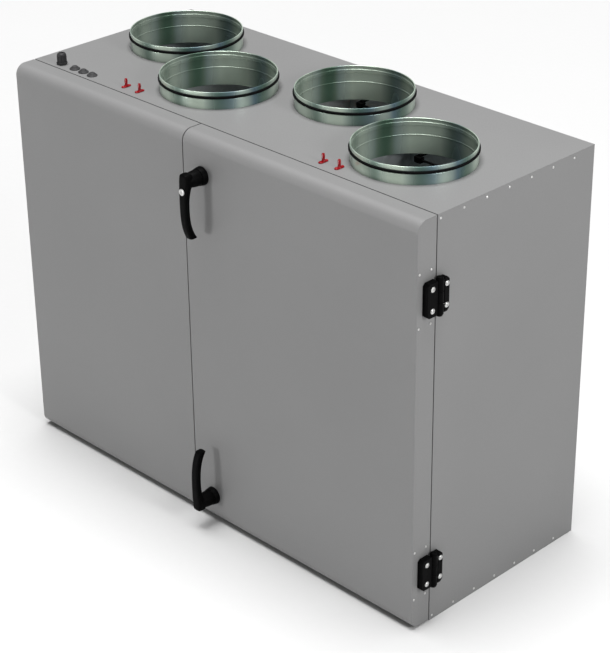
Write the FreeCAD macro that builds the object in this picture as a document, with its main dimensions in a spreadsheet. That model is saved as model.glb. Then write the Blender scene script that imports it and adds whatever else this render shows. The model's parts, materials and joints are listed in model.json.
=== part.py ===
import FreeCAD, Part
import os
import Sketcher

# Vertical heat recovery unit: an insulated double-skin cabinet with two hinged front doors, four
# round duct spigots in the roof, a plate heat exchanger on its corner, two plug fans, two filters,
# a bypass blade and a control box. Millimetres. The origin is the centre of the cabinet's
# underside, +X to the right as seen from the front, -Y towards the front, +Z up.

Vector = FreeCAD.Vector
Rotation = FreeCAD.Rotation
doc = FreeCAD.newDocument("heat_recovery_unit")
sheet = doc.addObject("Spreadsheet::Sheet", "dims")


class Size:
    """A number that remembers the spreadsheet expression it came from."""

    def __init__(self, value, text=None):
        self.value = float(value)
        self.text = text or "(%r)" % float(value)

    def _join(self, other, sign, result):
        return Size(result, "(%s %s %s)" % (self.text, sign, other.text))

    def __add__(self, other):
        other = sized(other)
        return self._join(other, "+", self.value + other.value)

    def __radd__(self, other):
        return sized(other) + self

    def __sub__(self, other):
        other = sized(other)
        return self._join(other, "-", self.value - other.value)

    def __rsub__(self, other):
        return sized(other) - self

    def __mul__(self, other):
        other = sized(other)
        return self._join(other, "*", self.value * other.value)

    def __rmul__(self, other):
        return sized(other) * self

    def __truediv__(self, other):
        other = sized(other)
        return self._join(other, "/", self.value / other.value)

    def __neg__(self):
        return Size(0) - self


def sized(number):
    return number if isinstance(number, Size) else Size(number)


class Sizes:
    """The driving dimensions, one spreadsheet row each."""


S = Sizes()


def driving(**sizes):
    for name, value in sizes.items():
        row = str(len(vars(S)) + 1)
        sheet.set("A" + row, name)
        sheet.set("B" + row, str(value))
        sheet.setAlias("B" + row, name)
        setattr(S, name, Size(value, "dims." + name))


# The cabinet: outer box without the doors, panel thickness, outer and inner sheet.
driving(cabinet_width=1480, cabinet_depth=575, cabinet_height=1130, wall=50, skin=1.2, liner=1.0)
# The doors: thickness, gap to the cabinet, gap between them, centre of that gap, bottom gap,
# radius of the rolled top and bottom edges.
driving(door_thickness=64, door_gap=3, seam_gap=3, seam_place=-60, door_lift=4, door_roll=30)
driving(seal_width=12, seal_inset=7)
# Duct spigots for a 315 mm duct: outer radius, height above the roof, sheet, gasket band, and the
# step at the roof below which the neck is a little narrower.
driving(spigot_radius=156.5, spigot_height=46, spigot_sheet=1.2, bead_depth=1.5, gasket_low=27)
driving(gasket_high=35, gasket_proud=0.6, spigot_lip=3, spigot_step=0.6)
# Spigot centres, alternately behind and in front of the middle of the roof.
driving(exhaust_place=-524, outdoor_place=-212, extract_place=124, supply_place=484)
driving(rear_row=78, front_row=-88)
# Hinges: axis beside the cabinet, heights, leaf block, knuckle and pin.
driving(hinge_out=12, hinge_low=163, hinge_drop=203, leaf_height=90, leaf_thick=17)
driving(door_leaf_far=46.5, frame_leaf_far=29, leaf_start=11.5, knuckle_radius=10, pin_radius=4)
driving(knuckle_height=92, running=0.06, leaf_chamfer=7, screw_spread=28)
# Lever handles: spindle right of the seam, heights, base rose, neck, lever.
driving(spindle_offset=70, handle_drop=102, handle_low=82, rose_radius=25, rose_height=16)
driving(neck_radius=22, neck_reach=62, lever_reach=70, lever_length=157, lever_width=24)
driving(spindle_radius=5, cam_thick=5, cam_gap=2)
# Heat exchanger block, standing on its corner, and its place.
driving(core_side=416, core_middle=-47, core_height=590, core_front=-243, core_back=122)
driving(plate_sheet=1, spacer=4)
driving(frame_sheet=3, corner_post=22, bypass_back=228)
# Air sections: duct risers and fan walls.
driving(left_wall_place=-370, right_wall_place=327, left_riser_front=-79)
driving(right_riser_front=-245, right_riser_back=69, inner_sheet=1.2, mullion_width=50)
driving(mullion_depth=40)
# Plug fans.
driving(fan_middle=-20, fan_height=300, fan_radius=140, fan_width=96, eye_radius=82)
driving(throat_radius=76, motor_radius=46, support_reach=196, strut_spread=150)
# Filters.
driving(filter_length=320, filter_thick=48, filter_off=50, filter_border=18, rail_depth=14)
# Small fittings on the roof, all on one row near the front: places along the roof and sizes.
driving(fitting_row=25.5, gland_inset=87, gland_hexagon=15.5, gland_bore=4.5, grommet_inset=142)
driving(grommet_pitch=36.5, grommet_radius=14.5, nipple_row=35, nipple_radius=3.2, nipple_bore=1.5)
driving(nipple_height=20, nipple_foot=3, nipple_lobe=6)
driving(nipple_1=-395, nipple_2=-341, nipple_3=338, nipple_4=392)
# Rivets and hinge screws: radii, head heights, rows.
driving(rivet_radius=3.4, rivet_head=1.6, rivet_start=10, rivet_pitch=81, rivet_edge=12)
driving(screw_radius=6.8, screw_head=2.2, door_rivet_front=8, door_rivet_rear=49, door_rivet_spread=70)
# Threaded inserts for the feet: inset from the cabinet's edges, bore, outer radius, depth.
driving(foot_inset=60, foot_bore=4.1, foot_radius=6.4, foot_depth=25)
# Temperature probes: from each spigot's centre to the left, and in from its rear edge.
driving(sensor_side=89, sensor_inset=40)
# Condensate tray and its outlet through the rear wall.
driving(tray_height=46, outlet_place=-200, outlet_height=76, outlet_radius=16, outlet_bore=13.5)
driving(outlet_out=25, drain_radius=17.5)
# Lock barrel below the upper spindle, and the holes for the spindles in the door.
driving(lock_radius=9, lock_drop=24, spindle_hole=7)

half_width = S.cabinet_width / 2
half_depth = S.cabinet_depth / 2
front = -half_depth
back = half_depth
roof = S.cabinet_height
inside_right = half_width - S.wall
inside_left = -inside_right
inside_back = back - S.wall
inside_top = roof - S.wall
door_back = front - S.door_gap
door_front = door_back - S.door_thickness
door_low = S.door_lift
mullion_back = front + S.mullion_depth
spindle_place = S.seam_place + S.spindle_offset
upper_handle = roof - S.handle_drop
lower_handle = S.handle_low
hinge_heights = [S.hinge_low, roof - S.hinge_drop]
hinge_plane = front - S.door_gap / 2
SPIGOTS = [
    ("exhaust_air_spigot", S.exhaust_place, S.rear_row),
    ("outdoor_air_spigot", S.outdoor_place, S.front_row),
    ("extract_air_spigot", S.extract_place, S.rear_row),
    ("supply_air_spigot", S.supply_place, S.front_row),
]

NODES = {}


# ---------------------------------------------------------------- document helpers

def place(thing, x, y, z, rotation=None):
    x, y, z = sized(x), sized(y), sized(z)
    thing.Placement = FreeCAD.Placement(Vector(x.value, y.value, z.value), rotation or Rotation())
    thing.setExpression("Placement.Base.x", x.text)
    thing.setExpression("Placement.Base.y", y.text)
    thing.setExpression("Placement.Base.z", z.text)
    return thing


def bind(thing, **sizes):
    for prop, size in sizes.items():
        thing.setExpression(prop, sized(size).text)
    return thing


def box(name, x, y, z):
    """A block between two places along each axis."""
    low = [sized(pair[0]) for pair in (x, y, z)]
    high = [sized(pair[1]) for pair in (x, y, z)]
    block = doc.addObject("Part::Box", name)
    bind(block, Length=high[0] - low[0], Width=high[1] - low[1], Height=high[2] - low[2])
    return place(block, *low)


ALONG_Z = Rotation()
ALONG_X = Rotation(Vector(0, 1, 0), 90)
ALONG_MINUS_X = Rotation(Vector(0, 1, 0), -90)
ALONG_Y = Rotation(Vector(1, 0, 0), -90)
ALONG_MINUS_Y = Rotation(Vector(1, 0, 0), 90)


def cylinder(name, base, radius, length, along=ALONG_Z):
    rod = doc.addObject("Part::Cylinder", name)
    bind(rod, Radius=radius, Height=length)
    return place(rod, *base, along)


def cone(name, base, radius, tip_radius, length, along=ALONG_Z):
    piece = doc.addObject("Part::Cone", name)
    bind(piece, Radius1=radius, Radius2=tip_radius, Height=length)
    return place(piece, *base, along)


def fuse(name, *pieces):
    joined = doc.addObject("Part::MultiFuse", name)
    joined.Shapes = list(pieces)
    joined.Refine = True
    return joined


def cut(name, base, *tools):
    result = doc.addObject("Part::Cut", name)
    result.Base = base
    result.Tool = tools[0] if len(tools) == 1 else fuse(name + "_tools", *tools)
    result.Refine = True
    return result


def group(name, pieces):
    bundle = doc.addObject("Part::Compound", name)
    bundle.Links = list(pieces)
    return bundle


def node(label, thing):
    """Register a finished sub-part: its label is its file's name."""
    thing.Label = label
    NODES[label] = thing
    return thing


# ---------------------------------------------------------------- PartDesign helpers

def body(name):
    return doc.addObject("PartDesign::Body", name)


def sketch(part, name, role, height=None):
    """A sketch on one of the body's own origin planes, lifted along its normal if asked."""
    drawing = part.newObject("Sketcher::SketchObject", name)
    plane = [item for item in part.Origin.OriginFeatures if item.Role == role][0]
    drawing.AttachmentSupport = [(plane, "")]
    drawing.MapMode = "FlatFace"
    if height is not None:
        drawing.setExpression("AttachmentOffset.Base.z", sized(height).text)
    return drawing


def fix_point(drawing, edge, point, x, y):
    for axis, size in (("X", sized(x)), ("Y", sized(y))):
        number = drawing.addConstraint(
            Sketcher.Constraint("Distance" + axis, -1, 1, edge, point, size.value)
        )
        drawing.setExpression("Constraints[%d]" % number, size.text)


def polygon(drawing, points):
    first = drawing.GeometryCount
    points = [(sized(x), sized(y)) for x, y in points]
    count = len(points)
    for index, (x, y) in enumerate(points):
        next_x, next_y = points[(index + 1) % count]
        drawing.addGeometry(
            Part.LineSegment(Vector(x.value, y.value, 0), Vector(next_x.value, next_y.value, 0)), False
        )
    for index in range(count):
        following = first + (index + 1) % count
        drawing.addConstraint(Sketcher.Constraint("Coincident", first + index, 2, following, 1))
    for index, (x, y) in enumerate(points):
        fix_point(drawing, first + index, 1, x, y)


def rectangle(drawing, x_low, x_high, y_low, y_high):
    polygon(drawing, [(x_low, y_low), (x_high, y_low), (x_high, y_high), (x_low, y_high)])


def circle(drawing, x, y, radius):
    x, y, radius = sized(x), sized(y), sized(radius)
    edge = drawing.addGeometry(
        Part.Circle(Vector(x.value, y.value, 0), Vector(0, 0, 1), radius.value), False
    )
    fix_point(drawing, edge, 3, x, y)
    number = drawing.addConstraint(Sketcher.Constraint("Radius", edge, radius.value))
    drawing.setExpression("Constraints[%d]" % number, radius.text)


def pad(part, drawing, length, name):
    feature = part.newObject("PartDesign::Pad", name)
    feature.Profile = drawing
    bind(feature, Length=length)
    return feature


def revolve(part, drawing, name):
    feature = part.newObject("PartDesign::Revolution", name)
    feature.Profile = drawing
    feature.ReferenceAxis = (drawing, ["V_Axis"])
    feature.Angle = 360
    return feature


def turned(name, outline):
    """A body of revolution about its own Z axis, from (radius, height) points."""
    part = body(name)
    drawing = sketch(part, name + "_profile", "XZ_Plane")
    polygon(drawing, outline)
    revolve(part, drawing, name + "_turning")
    return part


# ---------------------------------------------------------------- cabinet panels

def port_holes(name, low, high, clearance):
    return [
        cylinder("%s_port_%d" % (name, index), (x, y, low), S.spigot_radius + clearance, high - low)
        for index, (_, x, y) in enumerate(SPIGOTS)
    ]


def flanged_sheet(name, face_low, flange_low, flange_high):
    """A horizontal sheet the full size of the cabinet with four folded flanges."""
    flange_x = half_width - S.skin
    flange_y = half_depth - S.skin
    z = (flange_low, flange_high)
    return [
        box(name + "_face", (-half_width, half_width), (front, back), (face_low, face_low + S.skin)),
        box(name + "_left", (-flange_x, -flange_x + S.skin), (front + 3, back - 3), z),
        box(name + "_right", (flange_x - S.skin, flange_x), (front + 3, back - 3), z),
        box(name + "_rear", (3 - half_width, half_width - 3), (flange_y - S.skin, flange_y), z),
        box(name + "_front", (inside_left, inside_right), (front, front + S.skin), z),
    ]


def roof_and_base():
    flange = S.wall - 4
    plates = flanged_sheet("roof_sheet", roof - S.skin, roof - flange, roof - S.skin)
    holes = port_holes("roof_sheet", roof - S.skin * 2, roof + 1, 0.3)
    node("roof_skin", cut("roof_skin_cut", fuse("roof_skin_blank", *plates), *holes))
    plates = flanged_sheet("base_sheet", 0, S.skin, flange)
    inserts = [
        cylinder("base_hole_%d" % index, (x, y, -1), S.foot_radius + 0.1, 4)
        for index, (x, y) in enumerate(foot_places())
    ]
    node("base_skin", cut("base_skin_cut", fuse("base_skin_blank", *plates), *inserts))


def foot_places():
    x = half_width - S.foot_inset
    y = half_depth - S.foot_inset
    return [(-x, -y), (-x, y), (x, -y), (x, y)]


def side_skin(label, sign):
    """An outer side sheet with its front edge folded in to the door opening."""
    outer = half_width * sign
    inner = (half_width - S.skin) * sign
    fold = (half_width - S.wall) * sign
    z = (S.skin, roof - S.skin)
    across = (inner, outer) if sign > 0 else (outer, inner)
    folded = (fold, inner) if sign > 0 else (inner, fold)
    face = box(label + "_face", across, (front, back), z)
    lip = box(label + "_lip", folded, (front, front + S.skin), z)
    node(label, fuse(label + "_sheet", face, lip))


def drain_hole(name, y_low, y_high):
    length = y_high - y_low
    return cylinder(name, (S.outlet_place, y_low, S.outlet_height), S.drain_radius, length, ALONG_Y)


def rear_skin():
    face = box(
        "rear_face",
        (S.skin - half_width, half_width - S.skin),
        (back - S.skin, back),
        (S.skin, roof - S.skin),
    )
    node("rear_skin", cut("rear_skin_cut", face, drain_hole("rear_face_drain", back - 5, back + 5)))


def roof_insulation():
    """Slabs of wool laid side by side, each joint on the middle of a spigot."""
    gap = 0.25
    joints = [x for _, x, _ in SPIGOTS]
    starts = [3 - half_width] + [x + gap for x in joints]
    ends = [x - gap for x in joints] + [half_width - 3]
    slabs = []
    for index, (low, high) in enumerate(zip(starts, ends)):
        name = "roof_slab_%d" % index
        slab = box(name, (low, high), (front + 3, back - 3), (inside_top + S.liner, roof - S.skin))
        beside = SPIGOTS[max(index - 1, 0):index + 1]
        holes = [
            cylinder("%s_hole_%d" % (name, number), (x, y, inside_top - 1), S.spigot_radius + 0.8,
                     S.wall + 2)
            for number, (_, x, y) in enumerate(beside)
        ]
        slabs.append(cut(name + "_cut", slab, *holes))
    node("roof_insulation", group("roof_insulation_set", slabs))


def insulation_and_liners():
    bottom = box(
        "base_wool",
        (3 - half_width, half_width - 3),
        (front + 3, back - 3),
        (S.skin, S.wall - S.liner),
    )
    wells = [
        cylinder("base_wool_well_%d" % index, (x, y, 0), S.foot_radius + 0.1, S.foot_depth + 5)
        for index, (x, y) in enumerate(foot_places())
    ]
    z = (S.wall, inside_top)
    side_y = (front + S.skin, inside_back)
    right = box("right_wool", (inside_right + S.liner, half_width - S.skin), side_y, z)
    left = box("left_wool", (S.skin - half_width, inside_left - S.liner), side_y, z)
    rear = box(
        "rear_wool",
        (S.skin - half_width, half_width - S.skin),
        (inside_back + S.liner, back - S.skin),
        z,
    )
    pieces = [
        cut("base_wool_cut", bottom, *wells),
        right,
        left,
        cut("rear_wool_cut", rear, drain_hole("rear_wool_drain", inside_back - 5, back + 5)),
    ]
    node("casing_insulation", group("casing_insulation_set", pieces))
    x = (inside_left, inside_right)
    y = (front + 3, inside_back)
    ceiling = box("ceiling_sheet", x, y, (inside_top, inside_top + S.liner))
    holes = port_holes("ceiling", inside_top - 1, inside_top + 3, 0.3)
    node("roof_liner", cut("roof_liner_cut", ceiling, *holes))
    back_sheet = box("back_sheet", x, (inside_back, inside_back + S.liner), z)
    hole = drain_hole("back_sheet_drain", inside_back - 5, inside_back + 5)
    sheets = [
        box("floor_sheet", x, y, (S.wall - S.liner, S.wall)),
        box("right_sheet", (inside_right, inside_right + S.liner), side_y, z),
        box("left_sheet", (inside_left - S.liner, inside_left), side_y, z),
        cut("back_sheet_cut", back_sheet, hole),
    ]
    node("wall_liners", group("wall_liner_set", sheets))


def centre_mullion():
    """The upright channel behind the meeting edges of the doors."""
    x = (S.seam_place - S.mullion_width / 2, S.seam_place + S.mullion_width / 2)
    hollow_x = (x[0] + 2, x[1] - 2)
    z = (S.wall, inside_top)
    outer = box("mullion_block", x, (front, mullion_back), z)
    hollow = box("mullion_hollow", hollow_x, (front + 2, mullion_back + 1), z)
    node("centre_mullion", cut("centre_mullion_channel", outer, hollow))


# ---------------------------------------------------------------- spigots and roof fittings

def spigot_outline():
    outer = S.spigot_radius
    inner = outer - S.spigot_sheet
    bead = outer - S.bead_depth
    bead_inner = bead - S.spigot_sheet
    lip = outer - S.spigot_lip
    rim = S.spigot_height
    return [
        (outer - S.spigot_step, -S.wall),
        (outer - S.spigot_step, 0),
        (outer, 0),
        (outer, S.gasket_low),
        (bead, S.gasket_low + 0.5),
        (bead, S.gasket_high - 0.5),
        (outer, S.gasket_high),
        (outer, rim),
        (lip, rim),
        (lip, rim - S.spigot_sheet),
        (inner, rim - S.spigot_sheet),
        (inner, S.gasket_high + 1),
        (bead_inner, S.gasket_high),
        (bead_inner, S.gasket_low),
        (inner, S.gasket_low - 1),
        (inner, -S.wall),
    ]


def spigots():
    gaskets = []
    for index, (label, x, y) in enumerate(SPIGOTS):
        tube = turned(label + "_tube", spigot_outline())
        node(label, place(tube, x, y, roof))
        bead = S.spigot_radius - S.bead_depth
        proud = S.spigot_radius + S.gasket_proud
        low = S.gasket_low + 0.6
        high = S.gasket_high - 0.6
        ring = turned(
            "gasket_%d" % index,
            [
                (bead, low),
                (S.spigot_radius, low),
                (proud, low + 2),
                (proud, high - 2),
                (S.spigot_radius, high),
                (bead, high),
            ],
        )
        gaskets.append(place(ring, x, y, roof))
    node("spigot_gaskets", group("spigot_gasket_set", gaskets))


def cable_gland():
    """Hexagon body, cap nut and sealing insert, screwed through the roof."""
    x = S.gland_inset - half_width
    y = front + S.fitting_row
    collar = doc.addObject("Part::Prism", "gland_hexagon")
    collar.Polygon = 6
    bind(collar, Circumradius=S.gland_hexagon, Height=8)
    place(collar, x, y, roof)
    cap = turned(
        "gland_cap",
        [
            (0, 8),
            (12.5, 8),
            (12.5, 24),
            (10.5, 30),
            (7.5, 33),
            (S.gland_bore, 33),
            (S.gland_bore, 20),
            (0, 20),
        ],
    )
    node("cable_gland", fuse("cable_gland_body", collar, place(cap, x, y, roof)))


def grommets():
    domes = []
    for index in range(3):
        x = S.grommet_inset - half_width + S.grommet_pitch * index
        edge = S.grommet_radius
        dome = turned(
            "grommet_%d" % index,
            [(0, 0), (edge, 0), (edge, 2.5), (edge - 3, 5), (9, 5), (7, 8.5), (0, 9.5)],
        )
        domes.append(place(dome, x, front + S.fitting_row, roof))
    node("roof_grommets", group("roof_grommet_set", domes))


def pressure_nipples():
    """Test nipples, one pair over each filter, each an oblong foot with a hollow stem."""
    pieces = []
    width = S.nipple_lobe
    spread = width * 1.5
    for index, x in enumerate((S.nipple_1, S.nipple_2, S.nipple_3, S.nipple_4)):
        part = body("nipple_%d" % index)
        foot = sketch(part, "nipple_foot_%d" % index, "XY_Plane")
        rectangle(foot, -width, width, -spread, spread)
        pad(part, foot, S.nipple_foot, "nipple_foot_pad_%d" % index)
        for end, y in (("front", -spread), ("rear", spread)):
            lobe = sketch(part, "nipple_%s_%d" % (end, index), "XY_Plane")
            circle(lobe, 0, y, width)
            pad(part, lobe, S.nipple_foot, "nipple_%s_pad_%d" % (end, index))
        stem = sketch(part, "nipple_stem_%d" % index, "XY_Plane", S.nipple_foot)
        circle(stem, 0, 0, S.nipple_radius)
        circle(stem, 0, 0, S.nipple_bore)
        pad(part, stem, S.nipple_height, "nipple_stem_pad_%d" % index)
        pieces.append(place(part, x, front + S.nipple_row, roof))
    node("pressure_nipples", group("pressure_nipple_set", pieces))


def duct_sensors():
    """Temperature probes just below the extract and supply spigots, each on a clip and a bracket."""
    pieces = []
    for index, (label, x, y) in enumerate(SPIGOTS[2:]):
        clip_x = x - S.sensor_side
        probe_y = y + S.spigot_radius - S.sensor_inset
        pieces.append(
            fuse(
                "sensor_%d" % index,
                box("sensor_clip_%d" % index, (clip_x - 11, clip_x + 11), (probe_y - 8, probe_y + 8),
                    (inside_top - 20, inside_top - 4)),
                cylinder("sensor_rod_%d" % index, (clip_x + 9, probe_y, inside_top - 12), 3, 58, ALONG_X),
                box("sensor_bracket_%d" % index, (clip_x - 5, clip_x + 5), (probe_y, probe_y + 30),
                    (inside_top - 6, inside_top)),
            )
        )
    node("duct_sensors", group("duct_sensor_set", pieces))


# ---------------------------------------------------------------- fasteners and feet

def rivet(name, at, along):
    return cone(name, at, S.rivet_radius, S.rivet_radius * 0.6, S.rivet_head, along)


def screw(name, at, along):
    return cone(name, at, S.screw_radius, S.screw_radius - 1, S.screw_head, along)


def side_fasteners():
    """Rivets along the top and bottom of both sides and screws in the frame hinge leaves."""
    pieces = []
    for sign, along in ((-1, ALONG_MINUS_X), (1, ALONG_X)):
        for step in range(7):
            y = front + S.rivet_start + S.rivet_pitch * step
            for level, z in (("low", S.rivet_edge), ("high", roof - S.rivet_edge)):
                name = "rivet_%s_%d_%d" % (level, step, sign + 1)
                pieces.append(rivet(name, (half_width * sign, y, z), along))
        for level, height in enumerate(hinge_heights):
            for end in (-1, 1):
                y = hinge_plane + (S.leaf_start + S.frame_leaf_far) / 2
                name = "frame_screw_%d_%d_%d" % (level, end + 1, sign + 1)
                x = (half_width + S.leaf_thick) * sign
                pieces.append(screw(name, (x, y, height + S.screw_spread * end), along))
    node("casing_fasteners", group("casing_fastener_set", pieces))


def foot_inserts():
    """Threaded inserts for adjustable feet, flush with the underside."""
    pieces = []
    for index, (x, y) in enumerate(foot_places()):
        sleeve = turned(
            "foot_insert_%d" % index,
            [
                (S.foot_bore, 0),
                (S.foot_radius, 0),
                (S.foot_radius, S.foot_depth),
                (0, S.foot_depth),
                (0, S.foot_depth - 3),
                (S.foot_bore, S.foot_depth - 3),
            ],
        )
        pieces.append(place(sleeve, x, y, 0))
    node("foot_inserts", group("foot_insert_set", pieces))


# ---------------------------------------------------------------- hinges

def knuckle_bands():
    """Knuckle heights about the hinge's middle: frame, door, frame."""
    end = S.knuckle_height / 2
    third = S.knuckle_height / 6
    return [(-end, -third), (-third + 0.3, third - 0.3), (third, end)]


def leaf(name, sign, toward, far, bands, height):
    """A hinge leaf: a chamfered block beside the axis, with webs to its own knuckles."""
    part = body(name)
    outline = sketch(part, name + "_block", "YZ_Plane")
    low = -S.leaf_height / 2
    high = S.leaf_height / 2
    near = S.leaf_start * toward
    end = far * toward
    chamfer = S.leaf_chamfer * toward
    points = [
        (near, low),
        (end - chamfer, low),
        (end, low + S.leaf_chamfer),
        (end, high - S.leaf_chamfer),
        (end - chamfer, high),
        (near, high),
    ]
    polygon(outline, points)
    pad(part, outline, S.leaf_thick, name + "_block_pad")
    origin = S.hinge_out if sign > 0 else S.leaf_thick - S.hinge_out
    pieces = [part]
    for index, (bottom, top) in enumerate(bands):
        web_y = (0, near) if toward > 0 else (near, 0)
        pieces.append(box("%s_web_%d" % (name, index), (2, S.leaf_thick - 2), web_y, (bottom, top)))
        pieces.append(
            cylinder("%s_knuckle_%d" % (name, index), (origin, 0, bottom), S.knuckle_radius, top - bottom)
        )
    blank = fuse(name + "_blank", *pieces)
    bore = cylinder(name + "_bore", (origin, 0, -60), S.pin_radius + S.running, 120)
    base = half_width if sign > 0 else -half_width - S.leaf_thick
    return place(cut(name, blank, bore), base, hinge_plane, height)


def hinges():
    frame_leaves = []
    pins = []
    sides = {-1: [], 1: []}
    bands = knuckle_bands()
    for sign in (-1, 1):
        for level, height in enumerate(hinge_heights):
            tag = "%d_%d" % (level, sign + 1)
            frame_leaves.append(
                leaf("frame_leaf_" + tag, sign, 1, S.frame_leaf_far, [bands[0], bands[2]], height)
            )
            sides[sign].append(leaf("door_leaf_" + tag, sign, -1, S.door_leaf_far, [bands[1]], height))
            x = (half_width + S.hinge_out) * sign
            low = height - S.knuckle_height / 2 - 2
            length = S.knuckle_height + 4
            shank = cylinder("hinge_shank_" + tag, (x, hinge_plane, low), S.pin_radius, length)
            head = cylinder("hinge_head_" + tag, (x, hinge_plane, low + length), 6, 2)
            foot = cylinder("hinge_foot_" + tag, (x, hinge_plane, low - 2), 6, 2)
            pins.append(fuse("hinge_pin_" + tag, shank, head, foot))
    node("hinge_frame_leaves", group("hinge_frame_leaf_set", frame_leaves))
    node("hinge_pins", group("hinge_pin_set", pins))
    node("left_door_hinge_leaves", group("left_door_leaf_set", sides[-1]))
    node("right_door_hinge_leaves", group("right_door_leaf_set", sides[1]))


# ---------------------------------------------------------------- doors

def rolled_slab(name, x, inset, y_back):
    """A door-shaped slab whose front top and bottom edges are rolled."""
    part = body(name)
    low = door_low + inset
    high = roof - inset
    y_front = door_front + inset
    outline = sketch(part, name + "_outline", "YZ_Plane")
    rectangle(outline, y_front, y_back, low, high)
    block = pad(part, outline, x[1] - x[0], name + "_pad")
    doc.recompute()
    edges = []
    for index, edge in enumerate(block.Shape.Edges):
        middle = edge.BoundBox.Center
        along_x = edge.BoundBox.XLength > 1
        if along_x and abs(middle.y - y_front.value) < 0.01:
            edges.append("Edge%d" % (index + 1))
    roll = part.newObject("PartDesign::Fillet", name + "_roll")
    roll.Base = (block, edges)
    bind(roll, Radius=S.door_roll - inset)
    return place(part, x[0], 0, 0)


def spindle_holes(name):
    return [
        cylinder("%s_spindle_%d" % (name, index), (spindle_place, door_front - 5, z), S.spindle_hole,
                 S.door_thickness + 16, ALONG_Y)
        for index, z in enumerate((lower_handle, upper_handle))
    ]


def door(side, x, holes):
    """Outer skin, insulation, inner liner and seal of one door."""
    low, high = x
    within = (low + S.skin, high - S.skin)
    stuffed = (low + S.skin + 0.3, high - S.skin - 0.3)
    shell = rolled_slab(side + "_outer", x, sized(0), door_back)
    hollow = rolled_slab(side + "_hollow", within, S.skin, door_back + 1)
    wool = rolled_slab(side + "_wool", stuffed, S.skin + 0.3, door_back - S.liner)
    skin_tools = [hollow]
    liner = box(
        side + "_inner_sheet",
        (low + S.skin + 0.2, high - S.skin - 0.2),
        (door_back - S.liner, door_back),
        (door_low + S.skin + 0.2, roof - S.skin - 0.2),
    )
    if holes:
        skin_tools.extend(spindle_holes(side + "_skin"))
        wool = cut(side + "_wool_cut", wool, *spindle_holes(side + "_wool"))
        liner = cut(side + "_liner_cut", liner, *spindle_holes(side + "_liner"))
    node(side + "_skin", cut(side + "_skin_shell", shell, *skin_tools))
    node(side + "_insulation", wool)
    node(side + "_liner", liner)
    seal_out = S.seal_inset
    seal_in = S.seal_inset + S.seal_width
    y = (door_back, front)
    ring = box(side + "_ring", (low + seal_out, high - seal_out), y, (door_low + seal_out, roof - seal_out))
    window = box(
        side + "_window",
        (low + seal_in, high - seal_in),
        (door_back - 1, front + 1),
        (door_low + seal_in, roof - seal_in),
    )
    node(side + "_seal", cut(side + "_seal_ring", ring, window))


def door_fasteners(side, sign, along):
    """Screws in the door hinge leaves and rivets on the edge of the door beside them."""
    pieces = []
    for level, height in enumerate(hinge_heights):
        for end in (-1, 1):
            tag = "%s_%d_%d" % (side, level, end + 1)
            y = hinge_plane - (S.leaf_start + S.door_leaf_far) / 2
            x = (half_width + S.leaf_thick) * sign
            pieces.append(screw("door_screw_" + tag, (x, y, height + S.screw_spread * end), along))
            for row, depth in (("front", S.door_rivet_front), ("rear", S.door_rivet_rear)):
                spot = (half_width * sign, door_front + depth, height + S.door_rivet_spread * end)
                pieces.append(rivet("door_rivet_%s_%s" % (row, tag), spot, along))
    node(side + "_fasteners", group(side + "_fastener_set", pieces))


# ---------------------------------------------------------------- handles

def lever(name, height, up):
    """Neck, lever and square-ended spindle in one piece; the lever hangs down or stands up."""
    part = body(name + "_arm")
    side_view = sketch(part, name + "_side", "YZ_Plane")
    reach = S.lever_reach
    length = S.lever_length
    outline = [
        (40, 20),
        (reach - 6, 20),
        (reach - 1, 8),
        (reach, -30),
        (reach, -80),
        (reach - 4, 10 - length * 0.8),
        (reach - 12, 4 - length),
        (reach - 30, -length),
        (reach - 32, 8 - length),
        (reach - 22, 16 - length),
        (reach - 20, -length * 0.72),
        (reach - 17, -80),
        (reach - 18, -30),
        (40, -19),
    ]
    polygon(side_view, [(-sized(out), sized(level) * up) for out, level in outline])
    arm = pad(part, side_view, S.lever_width, name + "_arm_pad")
    arm.Midplane = True
    neck = cylinder(name + "_neck", (0, -S.rose_height - 0.3, 0), S.neck_radius, S.neck_reach - 16,
                    ALONG_MINUS_Y)
    spindle_length = S.rose_height + S.door_thickness + S.door_gap + 4.5 + S.cam_thick
    spindle = cylinder(name + "_spindle", (0, -S.rose_height - 1, 0), S.spindle_radius,
                       spindle_length + 1, ALONG_Y)
    return place(fuse(name + "_piece", part, neck, spindle), spindle_place, door_front, height)


def latch_cam(name, height):
    """The cam on the spindle's inner end; its nose points at the mullion."""
    low = front + 4.5
    high = low + S.cam_thick
    nose = S.seam_place + S.mullion_width / 2 + S.cam_gap
    hub = cylinder(name + "_hub", (spindle_place, low, height), 13, S.cam_thick, ALONG_Y)
    arm = box(name + "_arm", (nose, spindle_place), (low, high), (height - 10, height + 10))
    bore = cylinder(name + "_bore", (spindle_place, low - 2, height), S.spindle_radius,
                    S.cam_thick + 4, ALONG_Y)
    node(name, cut(name + "_plate", fuse(name + "_blank", hub, arm), bore))


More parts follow.
